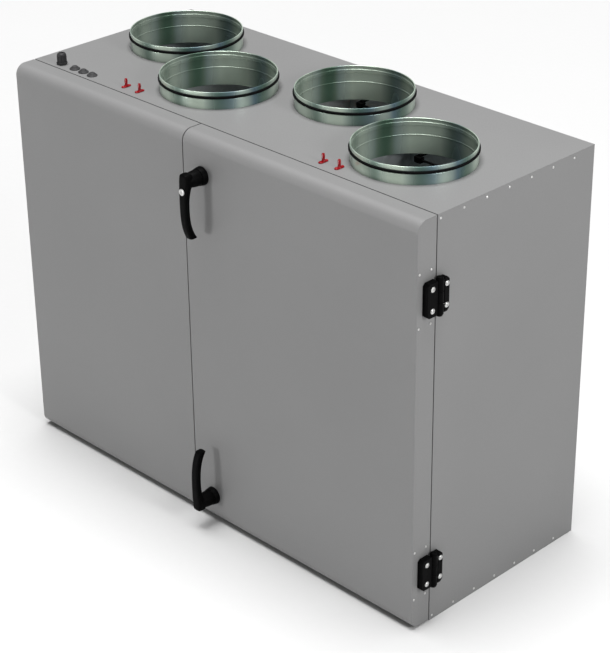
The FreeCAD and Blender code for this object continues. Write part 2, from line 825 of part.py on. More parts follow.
def handles():
    roses = []
    for index, height in enumerate((lower_handle, upper_handle)):
        rose = turned(
            "rose_%d" % index,
            [
                (S.spindle_radius + S.running, 0),
                (S.rose_radius, 0),
                (S.rose_radius, 5),
                (S.rose_radius - 3, S.rose_height),
                (S.spindle_radius + S.running, S.rose_height),
            ],
        )
        roses.append(place(rose, spindle_place, door_front, height, ALONG_MINUS_Y))
    node("handle_roses", group("handle_rose_set", roses))
    lock_out = S.lever_reach - 1
    lock_height = upper_handle - S.lock_drop
    upper = lever("upper_lever", upper_handle, 1)
    barrel_end = door_front - lock_out
    bore = cylinder("lock_bore", (spindle_place, barrel_end - 4, lock_height),
                    S.lock_radius + S.running, 14, ALONG_Y)
    node("upper_lever", cut("upper_lever_bored", upper, bore))
    node("lower_lever", lever("lower_lever", lower_handle, -1))
    barrel = cylinder("lock_barrel", (spindle_place, barrel_end - 2, lock_height), S.lock_radius, 12,
                      ALONG_Y)
    slot = box("lock_slot", (spindle_place - 1, spindle_place + 1), (barrel_end - 3, barrel_end + 4),
               (lock_height - 5, lock_height + 5))
    node("lock_cylinder", cut("lock_cylinder_barrel", barrel, slot))
    latch_cam("upper_latch_cam", upper_handle)
    latch_cam("lower_latch_cam", lower_handle)


# ---------------------------------------------------------------- air sections

CORNER = Rotation(Vector(0, 1, 0), 45)
core_reach = S.core_side * 0.70710678 + 4.5


def on_corner(thing):
    """Turn a piece drawn square about the core's centre so that it stands on its corner."""
    return place(thing, S.core_middle, 0, S.core_height, CORNER)


def square_box(name, side, y):
    return box(name, (-side / 2, side / 2), y, (-side / 2, side / 2))


def plate_pack(side, y):
    """Square plates with spacer bars on two opposite edges, the other two on the next layer."""
    gaps = 24
    pitch = (y[1] - y[0] - S.plate_sheet) / gaps
    edge = side / 2
    pieces = []
    for layer in range(gaps + 1):
        low = y[0] + pitch * layer
        pieces.append(square_box("plate_%d" % layer, side, (low, low + S.plate_sheet)))
        if layer == gaps:
            break
        for end in (-1, 1):
            across = (edge - S.spacer, edge) if end > 0 else (-edge, S.spacer - edge)
            along = (-edge, edge)
            x, z = (across, along) if layer % 2 else (along, across)
            pieces.append(box("spacer_%d_%d" % (layer, end + 1), x, (low, low + pitch), z))
    return pieces


def exchanger():
    side = S.core_side
    y = (S.core_front, S.core_back)
    node("exchanger_core", on_corner(fuse("exchanger_plates", *plate_pack(side, y))))
    gap = 0.4
    outer = side + 2 * S.frame_sheet
    cheek_front = (S.core_front - S.frame_sheet, S.core_front - gap / 2)
    cheek_back = (S.core_back + gap / 2, S.core_back + S.frame_sheet)
    whole = (cheek_front[0], cheek_back[1])
    window = side - 2 * S.corner_post
    cavity = square_box("frame_cavity", side + gap, (cheek_front[1], cheek_back[0]))
    through_x = box("frame_through_x", (-outer, outer), (y[0] + 12, y[1] - 12), (-window / 2, window / 2))
    through_z = box("frame_through_z", (-window / 2, window / 2), (y[0] + 12, y[1] - 12), (-outer, outer))
    shell = square_box("frame_blank", outer, whole)
    node("exchanger_frame", on_corner(cut("exchanger_cage", shell, cavity, through_x, through_z)))
    duct_y = (whole[1] + 0.5, S.bypass_back)
    duct = square_box("bypass_blank", outer, duct_y)
    hollow = square_box("bypass_hollow", outer - 2 * S.inner_sheet, (duct_y[0] + 2, duct_y[1] - 2))
    passage = box("bypass_passage", (-outer, outer), (duct_y[0] + 2, duct_y[1] - 2),
                  (-window / 2, window / 2))
    pin_bore = cylinder("bypass_bore", (0, bypass_middle(), -outer), 5 + S.running, 2 * outer)
    node("bypass_duct", on_corner(cut("bypass_shell", duct, hollow, passage, pin_bore)))


def bypass_middle():
    return (S.core_back + S.frame_sheet + 0.5 + S.bypass_back) / 2


def bypass_blade():
    """One long blade on a shaft across the middle of the bypass, shut at rest, and its actuator."""
    outer = S.core_side + 2 * S.frame_sheet
    y = bypass_middle()
    reach = outer / 2 - 6
    half = (S.bypass_back - S.core_back - S.frame_sheet) / 2 - 5
    plate = box("blade_plate", (-2, 2), (y - half, y + half), (-reach, reach))
    shaft = cylinder("blade_shaft", (0, y, -outer / 2 - 2), 5, outer + 22)
    node("bypass_blade", on_corner(fuse("bypass_flap", plate, shaft)))
    case = box("actuator_case", (-34, 34), (y - 40, y + 40), (outer / 2 + 1, outer / 2 + 56))
    bore = cylinder("actuator_bore", (0, y, outer / 2), 5 + S.running, 24)
    node("bypass_actuator", on_corner(cut("actuator_body", case, bore)))


def exchanger_guides():
    """Angle rails that hold the corners of the exchanger, one on each partition."""
    inner = S.core_side / 2 + S.frame_sheet + 0.4
    outer = inner + 1.5
    y = (mullion_back + 1, S.core_back + S.frame_sheet)
    pieces = []
    for index in range(4):
        first = box("guide_a_%d" % index, (outer - 34, outer), y, (inner, outer))
        second = box("guide_b_%d" % index, (inner, outer), y, (outer - 34, inner))
        angle = fuse("guide_%d" % index, first, second)
        turn = Rotation(Vector(0, 1, 0), 45 + 90 * index)
        pieces.append(place(angle, S.core_middle, 0, S.core_height, turn))
    node("exchanger_guides", group("exchanger_guide_set", pieces))


def partition_sheets():
    """Upright dividers over and under the exchanger, and shelves on both sides of it."""
    thick = S.inner_sheet
    x = (S.core_middle - thick / 2, S.core_middle + thick / 2)
    y = (mullion_back + 0.5, inside_back)
    tip = core_reach + 3
    left_shelf = box(
        "left_shelf_sheet",
        (inside_left, S.core_middle - tip),
        (front + 3, inside_back),
        (S.core_height - thick / 2, S.core_height + thick / 2),
    )
    left_hole = box(
        "left_shelf_hole",
        (inside_left + 2, S.left_wall_place - thick - 1),
        (S.left_riser_front + 1, inside_back - 2),
        (S.core_height - 5, S.core_height + 5),
    )
    right_shelf = box(
        "right_shelf_sheet",
        (S.core_middle + tip, inside_right),
        (front + 3, inside_back),
        (S.core_height - thick / 2, S.core_height + thick / 2),
    )
    right_hole = box(
        "right_shelf_hole",
        (S.right_wall_place + thick + 1, inside_right - 2),
        (S.right_riser_front + 1, S.right_riser_back - 1),
        (S.core_height - 5, S.core_height + 5),
    )
    pieces = [
        box("upper_divider", x, y, (S.core_height + tip, inside_top)),
        box("lower_divider", x, y, (S.wall, S.core_height - tip)),
        cut("left_shelf", left_shelf, left_hole),
        cut("right_shelf", right_shelf, right_hole),
    ]
    node("partition_sheets", group("partition_sheet_set", pieces))


def riser_ducts():
    """Folded sheets that lead each fan's air up to its spigot."""
    thick = S.inner_sheet
    z = (S.core_height + thick / 2, inside_top)
    left_x = (S.left_wall_place - thick, S.left_wall_place)
    left = fuse(
        "left_riser",
        box("left_riser_side", left_x, (S.left_riser_front, inside_back), z),
        box("left_riser_face", (inside_left, S.left_wall_place),
            (S.left_riser_front - thick, S.left_riser_front), z),
    )
    right_x = (S.right_wall_place, S.right_wall_place + thick)
    right = fuse(
        "right_riser",
        box("right_riser_side", right_x, (S.right_riser_front, S.right_riser_back), z),
        box("right_riser_face", (S.right_wall_place, inside_right),
            (S.right_riser_front - thick, S.right_riser_front), z),
        box("right_riser_rear", (S.right_wall_place, inside_right),
            (S.right_riser_back, S.right_riser_back + thick), z),
    )
    node("riser_ducts", group("riser_duct_set", [left, right]))


def condensate_tray():
    """Open tray under the exhaust side of the exchanger, with its outlet through the rear wall."""
    x = (S.left_wall_place + 12, S.core_middle - 12)
    y = (mullion_back + 1, inside_back - 12)
    z = (S.wall, S.wall + S.tray_height)
    blank = box("tray_blank", x, y, z)
    hollow = box("tray_hollow", (x[0] + 1.5, x[1] - 1.5), (y[0] + 1.5, y[1] - 1.5),
                 (z[0] + 2, z[1] + 1))
    centre = (S.outlet_place, inside_back - 13, S.outlet_height)
    neck = cylinder("tray_neck", centre, S.outlet_radius - 0.6, S.wall + 14, ALONG_Y)
    outlet = cylinder("tray_outlet", (S.outlet_place, back, S.outlet_height), S.outlet_radius,
                      S.outlet_out, ALONG_Y)
    bore = cylinder("tray_bore", (S.outlet_place, inside_back - 20, S.outlet_height), S.outlet_bore,
                    S.wall + S.outlet_out + 30, ALONG_Y)
    pan = cut("tray_pan", blank, hollow)
    whole = fuse("tray_with_outlet", pan, neck, outlet)
    node("condensate_tray", cut("condensate_pan", whole, bore))


# ---------------------------------------------------------------- fans

def impeller(name):
    """Backward-curved plug fan wheel about its own Z axis, with its eye at z = 0."""
    part = body(name)
    width = S.fan_width
    wheel = sketch(part, name + "_wheel", "XZ_Plane")
    polygon(wheel, [
        (0, width - 30),
        (38, width - 30),
        (50, width),
        (S.fan_radius, width),
        (S.fan_radius, width + 2.5),
        (8, width + 2.5),
        (8, width + 45),
        (0, width + 45),
    ])
    revolve(part, wheel, name + "_wheel_turning")
    ring = sketch(part, name + "_ring", "XZ_Plane")
    polygon(ring, [
        (S.eye_radius, -10),
        (S.eye_radius + 2.5, -10),
        (S.eye_radius + 5, 2),
        (S.fan_radius, 16),
        (S.fan_radius, 19),
        (S.eye_radius + 2, 6),
    ])
    blade = sketch(part, name + "_blade", "XY_Plane", 15)
    polygon(blade, [
        (62, 0),
        (90, 26),
        (116, 60),
        (120, 71),
        (117, 73),
        (111, 62),
        (86, 29),
        (60, 3),
    ])
    first = pad(part, blade, width - 14, name + "_blade_pad")
    doc.recompute()
    pattern = part.newObject("PartDesign::PolarPattern", name + "_blades")
    pattern.Originals = [first]
    pattern.Axis = (blade, ["N_Axis"])
    pattern.Angle = 360
    pattern.Occurrences = 7
    part.Tip = pattern
    doc.recompute()
    revolve(part, ring, name + "_ring_turning")
    return part


def fan(side, wall_place, sign):
    """Wall sheet, inlet nozzle, wheel and motor on its support; air enters from the middle."""
    thick = S.inner_sheet
    along = ALONG_X if sign > 0 else ALONG_MINUS_X
    wall_x = (wall_place, wall_place + thick) if sign > 0 else (wall_place - thick, wall_place)
    y = (front + 3, inside_back)
    face = wall_place + thick * sign
    wall = cut(
        side + "_fan_wall",
        box(side + "_fan_wall_sheet", wall_x, y, (S.wall, S.core_height - thick / 2)),
        cylinder(side + "_fan_wall_hole", (wall_place - 5 * sign, S.fan_middle, S.fan_height), 112, 20,
                 along),
    )
    nozzle = turned(side + "_nozzle", [
        (125, 0),
        (125, 2),
        (108, 2),
        (92, 7),
        (81, 18),
        (S.throat_radius + 2, 36),
        (S.throat_radius, 36),
        (79, 18),
        (91, 5),
        (107, 0),
    ])
    place(nozzle, face, S.fan_middle, S.fan_height, along)
    wheel = impeller(side + "_wheel")
    place(wheel, face + 38 * sign, S.fan_middle, S.fan_height, along)
    support_at = face + S.support_reach * sign
    stator = cylinder(
        side + "_stator", (face + 142 * sign, S.fan_middle, S.fan_height), S.motor_radius, 54, along)
    plate_x = (support_at, support_at + 3) if sign > 0 else (support_at - 3, support_at)
    reach = S.strut_spread + 12
    plate = box(side + "_motor_plate", plate_x, (S.fan_middle - reach, S.fan_middle + reach),
                (S.fan_height - reach, S.fan_height + reach))
    struts = [
        cylinder("%s_strut_%d_%d" % (side, a + 1, b + 1),
                 (face, S.fan_middle + S.strut_spread * a, S.fan_height + S.strut_spread * b),
                 6, S.support_reach, along)
        for a in (-1, 1) for b in (-1, 1)
    ]
    bore = cylinder(side + "_motor_bore", (face + 130 * sign, S.fan_middle, S.fan_height),
                    8 + S.running, 62, along)
    motor = cut(side + "_motor", fuse(side + "_motor_frame", stator, plate, *struts), bore)
    return wall, nozzle, wheel, motor


def fans():
    left = fan("exhaust", S.left_wall_place, -1)
    right = fan("supply", S.right_wall_place, 1)
    node("fan_walls", group("fan_wall_set", [left[0], right[0]]))
    node("fan_nozzles", group("fan_nozzle_set", [left[1], right[1]]))
    node("exhaust_fan_wheel", left[2])
    node("supply_fan_wheel", right[2])
    node("fan_motors", group("fan_motor_set", [left[3], right[3]]))


# ---------------------------------------------------------------- filters and controls

def filters():
    """Framed filters parallel to the two upper faces of the exchanger, on folded rails."""
    frames = []
    media = []
    rails = []
    half = S.filter_length / 2
    border = S.filter_border
    low = S.core_side / 2 + S.filter_off - S.filter_thick / 2
    high = low + S.filter_thick
    y = (S.core_front + 2, S.core_back - 2)
    for index, turn in enumerate((-45, 45)):
        upright = Rotation(Vector(0, 1, 0), turn)
        centre = (S.core_middle, 0, S.core_height, upright)
        outer = box("filter_outer_%d" % index, (-half, half), y, (low, high))
        opening = box("filter_opening_%d" % index, (border - half, half - border),
                      (y[0] + border, y[1] - border), (low - 1, high + 1))
        frames.append(place(cut("filter_frame_%d" % index, outer, opening), *centre))
        pleats = box("filter_pleats_%d" % index, (border - half + 0.2, half - border - 0.2),
                     (y[0] + border + 0.2, y[1] - border - 0.2), (low + 3, high - 3))
        media.append(place(group("filter_pack_%d" % index, [pleats]), *centre))
        for end in (-1, 1):
            inner = half + 0.6
            lip = S.rail_depth - 2
            spot = (inner - lip, inner + 2) if end > 0 else (-inner - 2, lip - inner)
            hollow = (inner - lip - 1, inner) if end > 0 else (-inner, lip + 1 - inner)
            tag = "%d_%d" % (index, end + 1)
            channel = box("rail_blank_" + tag, spot, y, (low - 2, high + 2))
            slot = box("rail_slot_" + tag, hollow, (y[0] - 1, y[1] + 1), (low - 0.5, high + 0.5))
            rails.append(place(cut("filter_rail_" + tag, channel, slot), *centre))
    node("filter_frames", group("filter_frame_set", frames))
    node("filter_media", group("filter_media_set", media))
    node("filter_rails", group("filter_rail_set", rails))


def controls():
    x = (inside_left + 4, S.left_wall_place - 6)
    y = (front + 14, S.left_riser_front - 12)
    z = (S.core_height + 100, inside_top - 8)
    blank = box("control_case", x, y, z)
    hollow = box("control_case_hollow", (x[0] + 1.5, x[1] - 1.5), (y[0] - 1, y[1] - 1.5),
                 (z[0] + 1.5, z[1] - 1.5))
    node("control_box", cut("control_box_shell", blank, hollow))
    cover = box("control_cover_sheet", x, (y[0] - 1.5, y[0]), z)
    node("control_box_cover", cover)


# ---------------------------------------------------------------- build, check, write

def build():
    roof_and_base()
    side_skin("left_side_skin", -1)
    side_skin("right_side_skin", 1)
    rear_skin()
    roof_insulation()
    insulation_and_liners()
    centre_mullion()
    spigots()
    cable_gland()
    grommets()
    pressure_nipples()
    duct_sensors()
    side_fasteners()
    foot_inserts()
    hinges()
    door("left_door", (-half_width, S.seam_place - S.seam_gap / 2), False)
    door("right_door", (S.seam_place + S.seam_gap / 2, half_width), True)
    door_fasteners("left_door", -1, ALONG_MINUS_X)
    door_fasteners("right_door", 1, ALONG_X)
    handles()
    exchanger()
    bypass_blade()
    exchanger_guides()
    partition_sheets()
    riser_ducts()
    condensate_tray()
    fans()
    filters()
    controls()


def check():
    doc.recompute()
    faults = [
        "%s: %s" % (thing.Label, ", ".join(thing.State))
        for thing in doc.Objects
        if "Invalid" in thing.State or "Error" in thing.State
    ]
    for label, thing in NODES.items():
        if thing.Shape.isNull() or not thing.Shape.isValid() or not thing.Shape.Solids:
            faults.append("%s: no valid solid" % label)
    if faults:
        raise SystemExit("\n".join(faults))


def write():
    os.makedirs("parts", exist_ok=True)
    for label, thing in NODES.items():
        thing.Shape.exportStep(os.path.join("parts", label + ".step"))
        size = thing.Shape.BoundBox
        print("%-26s %2d solids  %7.1f %7.1f %7.1f" % (
            label, len(thing.Shape.Solids), size.XLength, size.YLength, size.ZLength))


build()
check()
write()
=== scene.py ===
import json
import math
import random

import bmesh
import bpy
from mathutils import Matrix, Vector


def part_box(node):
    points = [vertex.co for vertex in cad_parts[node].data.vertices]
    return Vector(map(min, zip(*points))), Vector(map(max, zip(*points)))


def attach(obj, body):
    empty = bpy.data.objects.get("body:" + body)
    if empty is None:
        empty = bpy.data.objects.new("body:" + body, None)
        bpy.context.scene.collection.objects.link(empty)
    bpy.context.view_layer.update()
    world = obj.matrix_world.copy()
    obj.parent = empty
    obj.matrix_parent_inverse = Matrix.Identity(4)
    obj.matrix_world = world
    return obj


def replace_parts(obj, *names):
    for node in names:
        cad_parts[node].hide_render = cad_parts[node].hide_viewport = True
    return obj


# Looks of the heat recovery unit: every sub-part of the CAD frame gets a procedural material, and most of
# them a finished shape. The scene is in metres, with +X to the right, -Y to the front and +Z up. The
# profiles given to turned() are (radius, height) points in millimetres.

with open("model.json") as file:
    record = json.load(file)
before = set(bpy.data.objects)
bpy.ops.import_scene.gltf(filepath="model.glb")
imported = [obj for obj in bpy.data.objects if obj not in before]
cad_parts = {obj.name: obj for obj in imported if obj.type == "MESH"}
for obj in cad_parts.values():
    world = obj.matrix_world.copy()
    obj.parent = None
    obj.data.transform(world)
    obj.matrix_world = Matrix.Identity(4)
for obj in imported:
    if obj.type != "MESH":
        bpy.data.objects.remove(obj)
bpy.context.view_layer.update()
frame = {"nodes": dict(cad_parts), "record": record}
nodes = frame["nodes"]
SLOTS = {row["node"]: row["material_slot"] for row in frame["record"]["subparts"]}
BODIES = {node: body for body, members in frame["record"]["behaviour"]["bodies"].items()
          for node in members}
MM = 0.001
NO_TURN = Matrix.Identity(4)


def low(node):
    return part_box(node)[0]


def high(node):
    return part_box(node)[1]


def middle(node):
    return (low(node) + high(node)) / 2


ROOF = high("roof_skin").z
RIGHT = high("right_side_skin").x
LEFT = low("left_side_skin").x
FRONT = low("roof_skin").y
BACK = high("roof_skin").y
DOOR_BACK = high("right_door_skin").y
DOOR_FRONT = low("right_door_skin").y
DOOR_LOW = low("right_door_skin").z
SEAM = (FRONT + DOOR_BACK) / 2  # the middle of the gap between the doors and the cabinet
SHEET = 1.2 * MM
PAST = 10 * MM  # how far a cutting tool reaches past what it cuts
FOLD = 46 * MM  # how far the roof's and the base's folded edges reach
CORE_HALF = 0.208  # half the side of the square heat exchanger
HINGE_HEIGHTS = (0.163, ROOF - 0.203)
PIN_OUT = 12 * MM  # the hinge pins' distance from the side sheets
WHEEL_OUT = 38 * MM  # the fan wheels' distance from their walls
DRAIN_X, DRAIN_Z = -0.2, 0.076
SPIGOTS = ["exhaust_air_spigot", "outdoor_air_spigot", "extract_air_spigot", "supply_air_spigot"]
CORNERS = ((-1, -1), (-1, 1), (1, -1), (1, 1))


# ---------------------------------------------------------------- materials

class Surface:
    """A node-based material on a Principled surface, with one tint that its patterns vary."""

    def __init__(self, name, tint, roughness, metallic=0.0):
        self.material = bpy.data.materials.new(name)
        self.material.use_nodes = True
        self.tree = self.material.node_tree
        self.shader = self.tree.nodes["Principled BSDF"]
        self.tint = tint
        self.material.diffuse_color = (*tint, 1)
        self.set(self.shader, "Base Color", (*tint, 1))
        self.set(self.shader, "Roughness", roughness)
        self.set(self.shader, "Metallic", metallic)
        self.places = self.add("ShaderNodeTexCoord").outputs

    def set(self, node, name, value):
        if isinstance(value, bpy.types.NodeSocket):
            self.tree.links.new(value, node.inputs[name])
        else:
            node.inputs[name].default_value = value

    def add(self, kind, inputs=None, **settings):
        node = self.tree.nodes.new(kind)
        for name, value in settings.items():
            setattr(node, name, value)
        for name, value in (inputs or {}).items():
            self.set(node, name, value)
        return node

    def tone(self, factor):
        return tuple(min(1.0, channel * factor) for channel in self.tint)

    def stretched(self, scale, source=None):
        node = self.add("ShaderNodeMapping", {"Vector": source or self.places["Object"], "Scale": scale})
        return node.outputs["Vector"]

    def noise(self, scale, detail, vector=None):
        inputs = {"Vector": vector or self.places["Object"], "Scale": scale, "Detail": detail}
        return self.add("ShaderNodeTexNoise", inputs).outputs["Fac"]

    def cells(self, scale):
        node = self.add("ShaderNodeTexVoronoi", {"Vector": self.places["Object"], "Scale": scale})
        split = self.add("ShaderNodeSeparateColor", {"Color": node.outputs["Color"]})
        return split.outputs["Red"]

    def span(self, value, low_end, high_end, source=(0.3, 0.7)):
        inputs = {"Value": value, "From Min": source[0], "From Max": source[1],
                  "To Min": low_end, "To Max": high_end}
        return self.add("ShaderNodeMapRange", inputs).outputs["Result"]

    def mix(self, amount, first, second):
        node = self.add("ShaderNodeMix", data_type="RGBA")
        colours = [socket for socket in node.inputs if socket.type == "RGBA"]
        self.set(node, "Factor", amount)
        for socket, colour in zip(colours, (first, second)):
            if isinstance(colour, bpy.types.NodeSocket):
                self.tree.links.new(colour, socket)
            else:
                socket.default_value = (*colour, 1)
        return [socket for socket in node.outputs if socket.type == "RGBA"][0]

    def paint(self, colour):
        self.set(self.shader, "Base Color", colour)

    def mottle(self, value, darkest, lightest):
        """A tint that wanders between a darker and a lighter tone of itself."""
        self.paint(self.mix(self.span(value, 0.0, 1.0), self.tone(darkest), self.tone(lightest)))

    def polish(self, value, smoothest, roughest, source=(0.3, 0.7)):
        self.set(self.shader, "Roughness", self.span(value, smoothest, roughest, source))

    def bump(self, value, strength, distance):
        inputs = {"Height": value, "Strength": strength, "Distance": distance}
        normal = self.shader.inputs["Normal"]
        if normal.is_linked:
            inputs["Normal"] = normal.links[0].from_socket
        self.set(self.shader, "Normal", self.add("ShaderNodeBump", inputs).outputs["Normal"])


def powder_coat(name, tint):
    """Fine-textured satin powder coating: orange peel, small grain and faint large clouding."""
    surface = Surface(name, tint, 0.5)
    clouds = surface.span(surface.noise(2.2, 3), 0.0, 1.0)
    clouded = surface.mix(clouds, surface.tone(0.965), surface.tone(1.03))
    grain = surface.span(surface.noise(1400, 2), 0.0, 0.35)
    surface.paint(surface.mix(grain, clouded, surface.tone(0.86)))
    surface.polish(surface.noise(420, 2), 0.44, 0.58)
    surface.bump(surface.noise(520, 2), 0.22, 0.00025)
    surface.bump(surface.noise(1900, 1), 0.18, 0.00008)
    return surface.material


def galvanised(name, tint, rough=0.42, spangle=55):
    """Hot-dip galvanised sheet: spangle cells and rolling streaks."""
    surface = Surface(name, tint, rough, 0.6)
    flakes = surface.cells(spangle)
    streaks = surface.noise(90, 3, surface.stretched((1, 1, 0.06)))
    shade = surface.mix(flakes, surface.tone(0.9), surface.tone(1.06))
    surface.paint(surface.mix(surface.span(streaks, 0.0, 0.3), shade, surface.tone(0.85)))
    surface.polish(flakes, rough - 0.05, rough + 0.07, (0, 1))
    surface.bump(surface.noise(400, 1), 0.05, 0.0001)
    return surface.material


def duct_steel(name):
    """Passivated galvanised sheet: green and blue tints in upright bands around the tube, as painted
    reflections.
    """
    pale, green, blue = (0.49, 0.58, 0.49), (0.07, 0.13, 0.09), (0.10, 0.16, 0.19)
    surface = Surface(name, pale, 0.24, 0.45)
    centred = surface.add("ShaderNodeVectorMath", {0: surface.places["Generated"]}, operation="SUBTRACT")
    centred.inputs[1].default_value = (0.5, 0.5, 0.5)
    around = surface.stretched((1, 1, 0.03), centred.outputs["Vector"])
    broad = surface.span(surface.noise(3.6, 0.6, around), 0.0, 1.0, (0.37, 0.63))
    fine = surface.span(surface.noise(5.5, 0, around), 0.0, 1.0, (0.35, 0.65))
    # painted reflections: upright green and blue bands over the sheet's pale tint stand for the surroundings
    # mirrored in the tube
    surface.paint(surface.mix(broad, pale, surface.mix(fine, green, blue)))
    surface.polish(surface.noise(4, 0, around), 0.22, 0.32)
    surface.bump(surface.noise(700, 1), 0.03, 0.00005)
    return surface.material


def moulded(name, tint, rough, grain=0.15, shine=0.5):
    """Injection-moulded plastic with a spark-eroded grain."""
    surface = Surface(name, tint, rough)
    surface.set(surface.shader, "Specular IOR Level", shine)
    surface.mottle(surface.noise(35, 4), 0.85, 1.2)
    surface.polish(surface.noise(160, 3), rough - 0.06, rough + 0.08)
    surface.bump(surface.noise(1500, 2), grain, 0.0001)
    return surface.material


def rubber(name):
    """Black rubber with a little dust."""
    black, dusty = (0.003, 0.003, 0.0033), (0.009, 0.009, 0.0095)
    surface = Surface(name, black, 0.62)
    surface.set(surface.shader, "Specular IOR Level", 0.08)
    surface.paint(surface.mix(surface.span(surface.noise(60, 4), 0.0, 0.35), black, dusty))
    surface.polish(surface.noise(220, 2), 0.52, 0.74)
    surface.bump(surface.noise(900, 2), 0.2, 0.00015)
    return surface.material


def bright_metal(name, tint, rough, scale=300):
    """Machined or plated metal with fine handling marks."""
    surface = Surface(name, tint, rough, 1.0)
    surface.mottle(surface.noise(scale, 4), 0.82, 1.1)
    surface.polish(surface.noise(scale * 2, 2), rough - 0.06, rough + 0.1)
    surface.bump(surface.noise(scale * 3, 2), 0.08, 0.0001)
    return surface.material


def zinc_plate(name):
    """Yellowish zinc plating with a faint rainbow."""
    surface = Surface(name, (0.66, 0.64, 0.58), 0.28, 1.0)
    hue = surface.span(surface.noise(60, 3), 0.0, 1.0)
    surface.paint(surface.mix(hue, (0.70, 0.66, 0.52), (0.58, 0.62, 0.68)))
    surface.polish(surface.noise(400, 2), 0.22, 0.38)
    surface.bump(surface.noise(700, 2), 0.1, 0.0001)
    return surface.material


def wool(name):
    """Mineral wool with its fibres lying flat."""
    surface = Surface(name, (0.62, 0.55, 0.32), 0.95)
    fibres = surface.noise(420, 5, surface.stretched((1, 1, 4)))
    surface.mottle(fibres, 0.7, 1.25)
    surface.bump(fibres, 0.7, 0.0012)
    return surface.material


def fleece(name):
    """Glass-fibre filter fleece with visible fibres."""
    surface = Surface(name, (0.83, 0.84, 0.80), 0.9)
    fibres = surface.noise(900, 5, surface.stretched((1, 0.25, 1)))
    surface.mottle(fibres, 0.82, 1.06)
    surface.bump(fibres, 0.5, 0.0004)
    return surface.material


def card(name):
    """Pressed card with pulp flecks."""
    surface = Surface(name, (0.66, 0.58, 0.44), 0.8)
    surface.mottle(surface.noise(260, 5), 0.88, 1.1)
    surface.bump(surface.noise(600, 3), 0.2, 0.0002)
    return surface.material


def studio_floor(name):
    surface = Surface(name, (0.525, 0.525, 0.525), 0.7)
    surface.mottle(surface.noise(1.2, 3), 0.99, 1.0)
    surface.polish(surface.noise(40, 2), 0.62, 0.75)
    return surface.material


GREY = (0.184, 0.184, 0.184)
MATERIALS = {
    "painted_casing": powder_coat("grey_powder_coat", GREY),
    "galvanised_sheet": galvanised("galvanised_sheet", (0.52, 0.55, 0.56)),
    "galvanised_spigot": duct_steel("duct_steel_painted_reflections"),
    "mineral_wool": wool("mineral_wool"),
    "exchanger_aluminium": bright_metal("exchanger_aluminium", (0.56, 0.57, 0.58), 0.46, 180),
    "stainless_tray": bright_metal("stainless_tray", (0.62, 0.62, 0.62), 0.3, 240),
    "black_rubber": rubber("black_rubber"),
    "black_plastic": moulded("black_glass_filled_nylon", (0.0012, 0.0012, 0.0013), 0.5, 0.3, 0.035),
    "fitting_plastic": moulded("dark_grey_nylon", (0.022, 0.022, 0.023), 0.5, 0.3, 0.3),
    "fitting_rubber": moulded("dark_grey_rubber", (0.030, 0.030, 0.031), 0.62, 0.35, 0.3),
    "red_plastic": moulded("red_polypropylene", (0.22, 0.001, 0.004), 0.2, 0.06, 0.38),
    "bright_steel": bright_metal("bright_steel", (0.62, 0.62, 0.61), 0.34),
    "zinc_steel": zinc_plate("yellow_zinc"),
    "fan_composite": moulded("fan_composite", (0.05, 0.065, 0.09), 0.45, 0.25),
    "fan_alloy": bright_metal("cast_alloy", (0.58, 0.59, 0.60), 0.45, 220),
    "fan_nozzle_steel": galvanised("nozzle_steel", (0.66, 0.68, 0.69), 0.26, 70),
    "actuator_plastic": moulded("actuator_plastic", (0.75, 0.20, 0.03), 0.4),
    "damper_aluminium": bright_metal("damper_aluminium", (0.72, 0.73, 0.74), 0.36),
    "filter_card": card("filter_card"),
    "filter_fleece": fleece("filter_fleece"),
    "control_cover_paint": powder_coat("control_cover_paint", (0.42, 0.43, 0.44)),
}


def dress_frame():
    """Every CAD node starts with its slot's material; the pieces further down stand for most of them."""
    for name, slot in SLOTS.items():
        node = nodes[name]
        if not node.data.materials:
            node.data.materials.append(None)
        for held in node.material_slots:
            held.material = MATERIALS[slot]


# ---------------------------------------------------------------- placing and mesh helpers

def turn(angle, axis):
    return Matrix.Rotation(math.radians(angle), 4, axis)


def moved(x, y, z, turning=NO_TURN):
    return Matrix.Translation((x, y, z)) @ turning


def placed(mesh, at):
    mesh.transform(at)
    return mesh


TO_FRONT = turn(90, "X")
TO_BACK = turn(-90, "X")
TO_RIGHT = turn(90, "Y")
TO_LEFT = turn(-90, "Y")
TO_YZ = Matrix(((0, 0, 1, 0), (1, 0, 0, 0), (0, 1, 0, 0), (0, 0, 0, 1)))  # (x, y, z) becomes (z, x, y)
SIDES = (("left", -1, TO_LEFT), ("right", 1, TO_RIGHT))


def levels(lo, hi, margin):
    """Three heights in a box: near its bottom, in the middle and near its top."""
    return lo.z + margin, (lo.z + hi.z) / 2, hi.z - margin


def foot_places():
    inset = 0.06
    return [(x, y) for x in (LEFT + inset, RIGHT - inset) for y in (FRONT + inset, BACK - inset)]


def arc(centre_x, centre_y, radius, start, end, steps):
    """Points of an arc, angles in degrees."""
    points = []
    for index in range(steps + 1):
        angle = math.radians(start + (end - start) * index / steps)
        points.append((centre_x + radius * math.cos(angle), centre_y + radius * math.sin(angle)))
    return points


def mesh_from(name, builder):
    bm = bmesh.new()
    builder(bm)
    bmesh.ops.recalc_face_normals(bm, faces=bm.faces)
    mesh = bpy.data.meshes.new(name)
    bm.to_mesh(mesh)
    bm.free()
    return mesh


def bridge(bm, first, second):
    """Faces between two rings of as many points."""
    for index in range(len(first)):
        after = (index + 1) % len(first)
        bm.faces.new([first[index], first[after], second[after], second[index]])


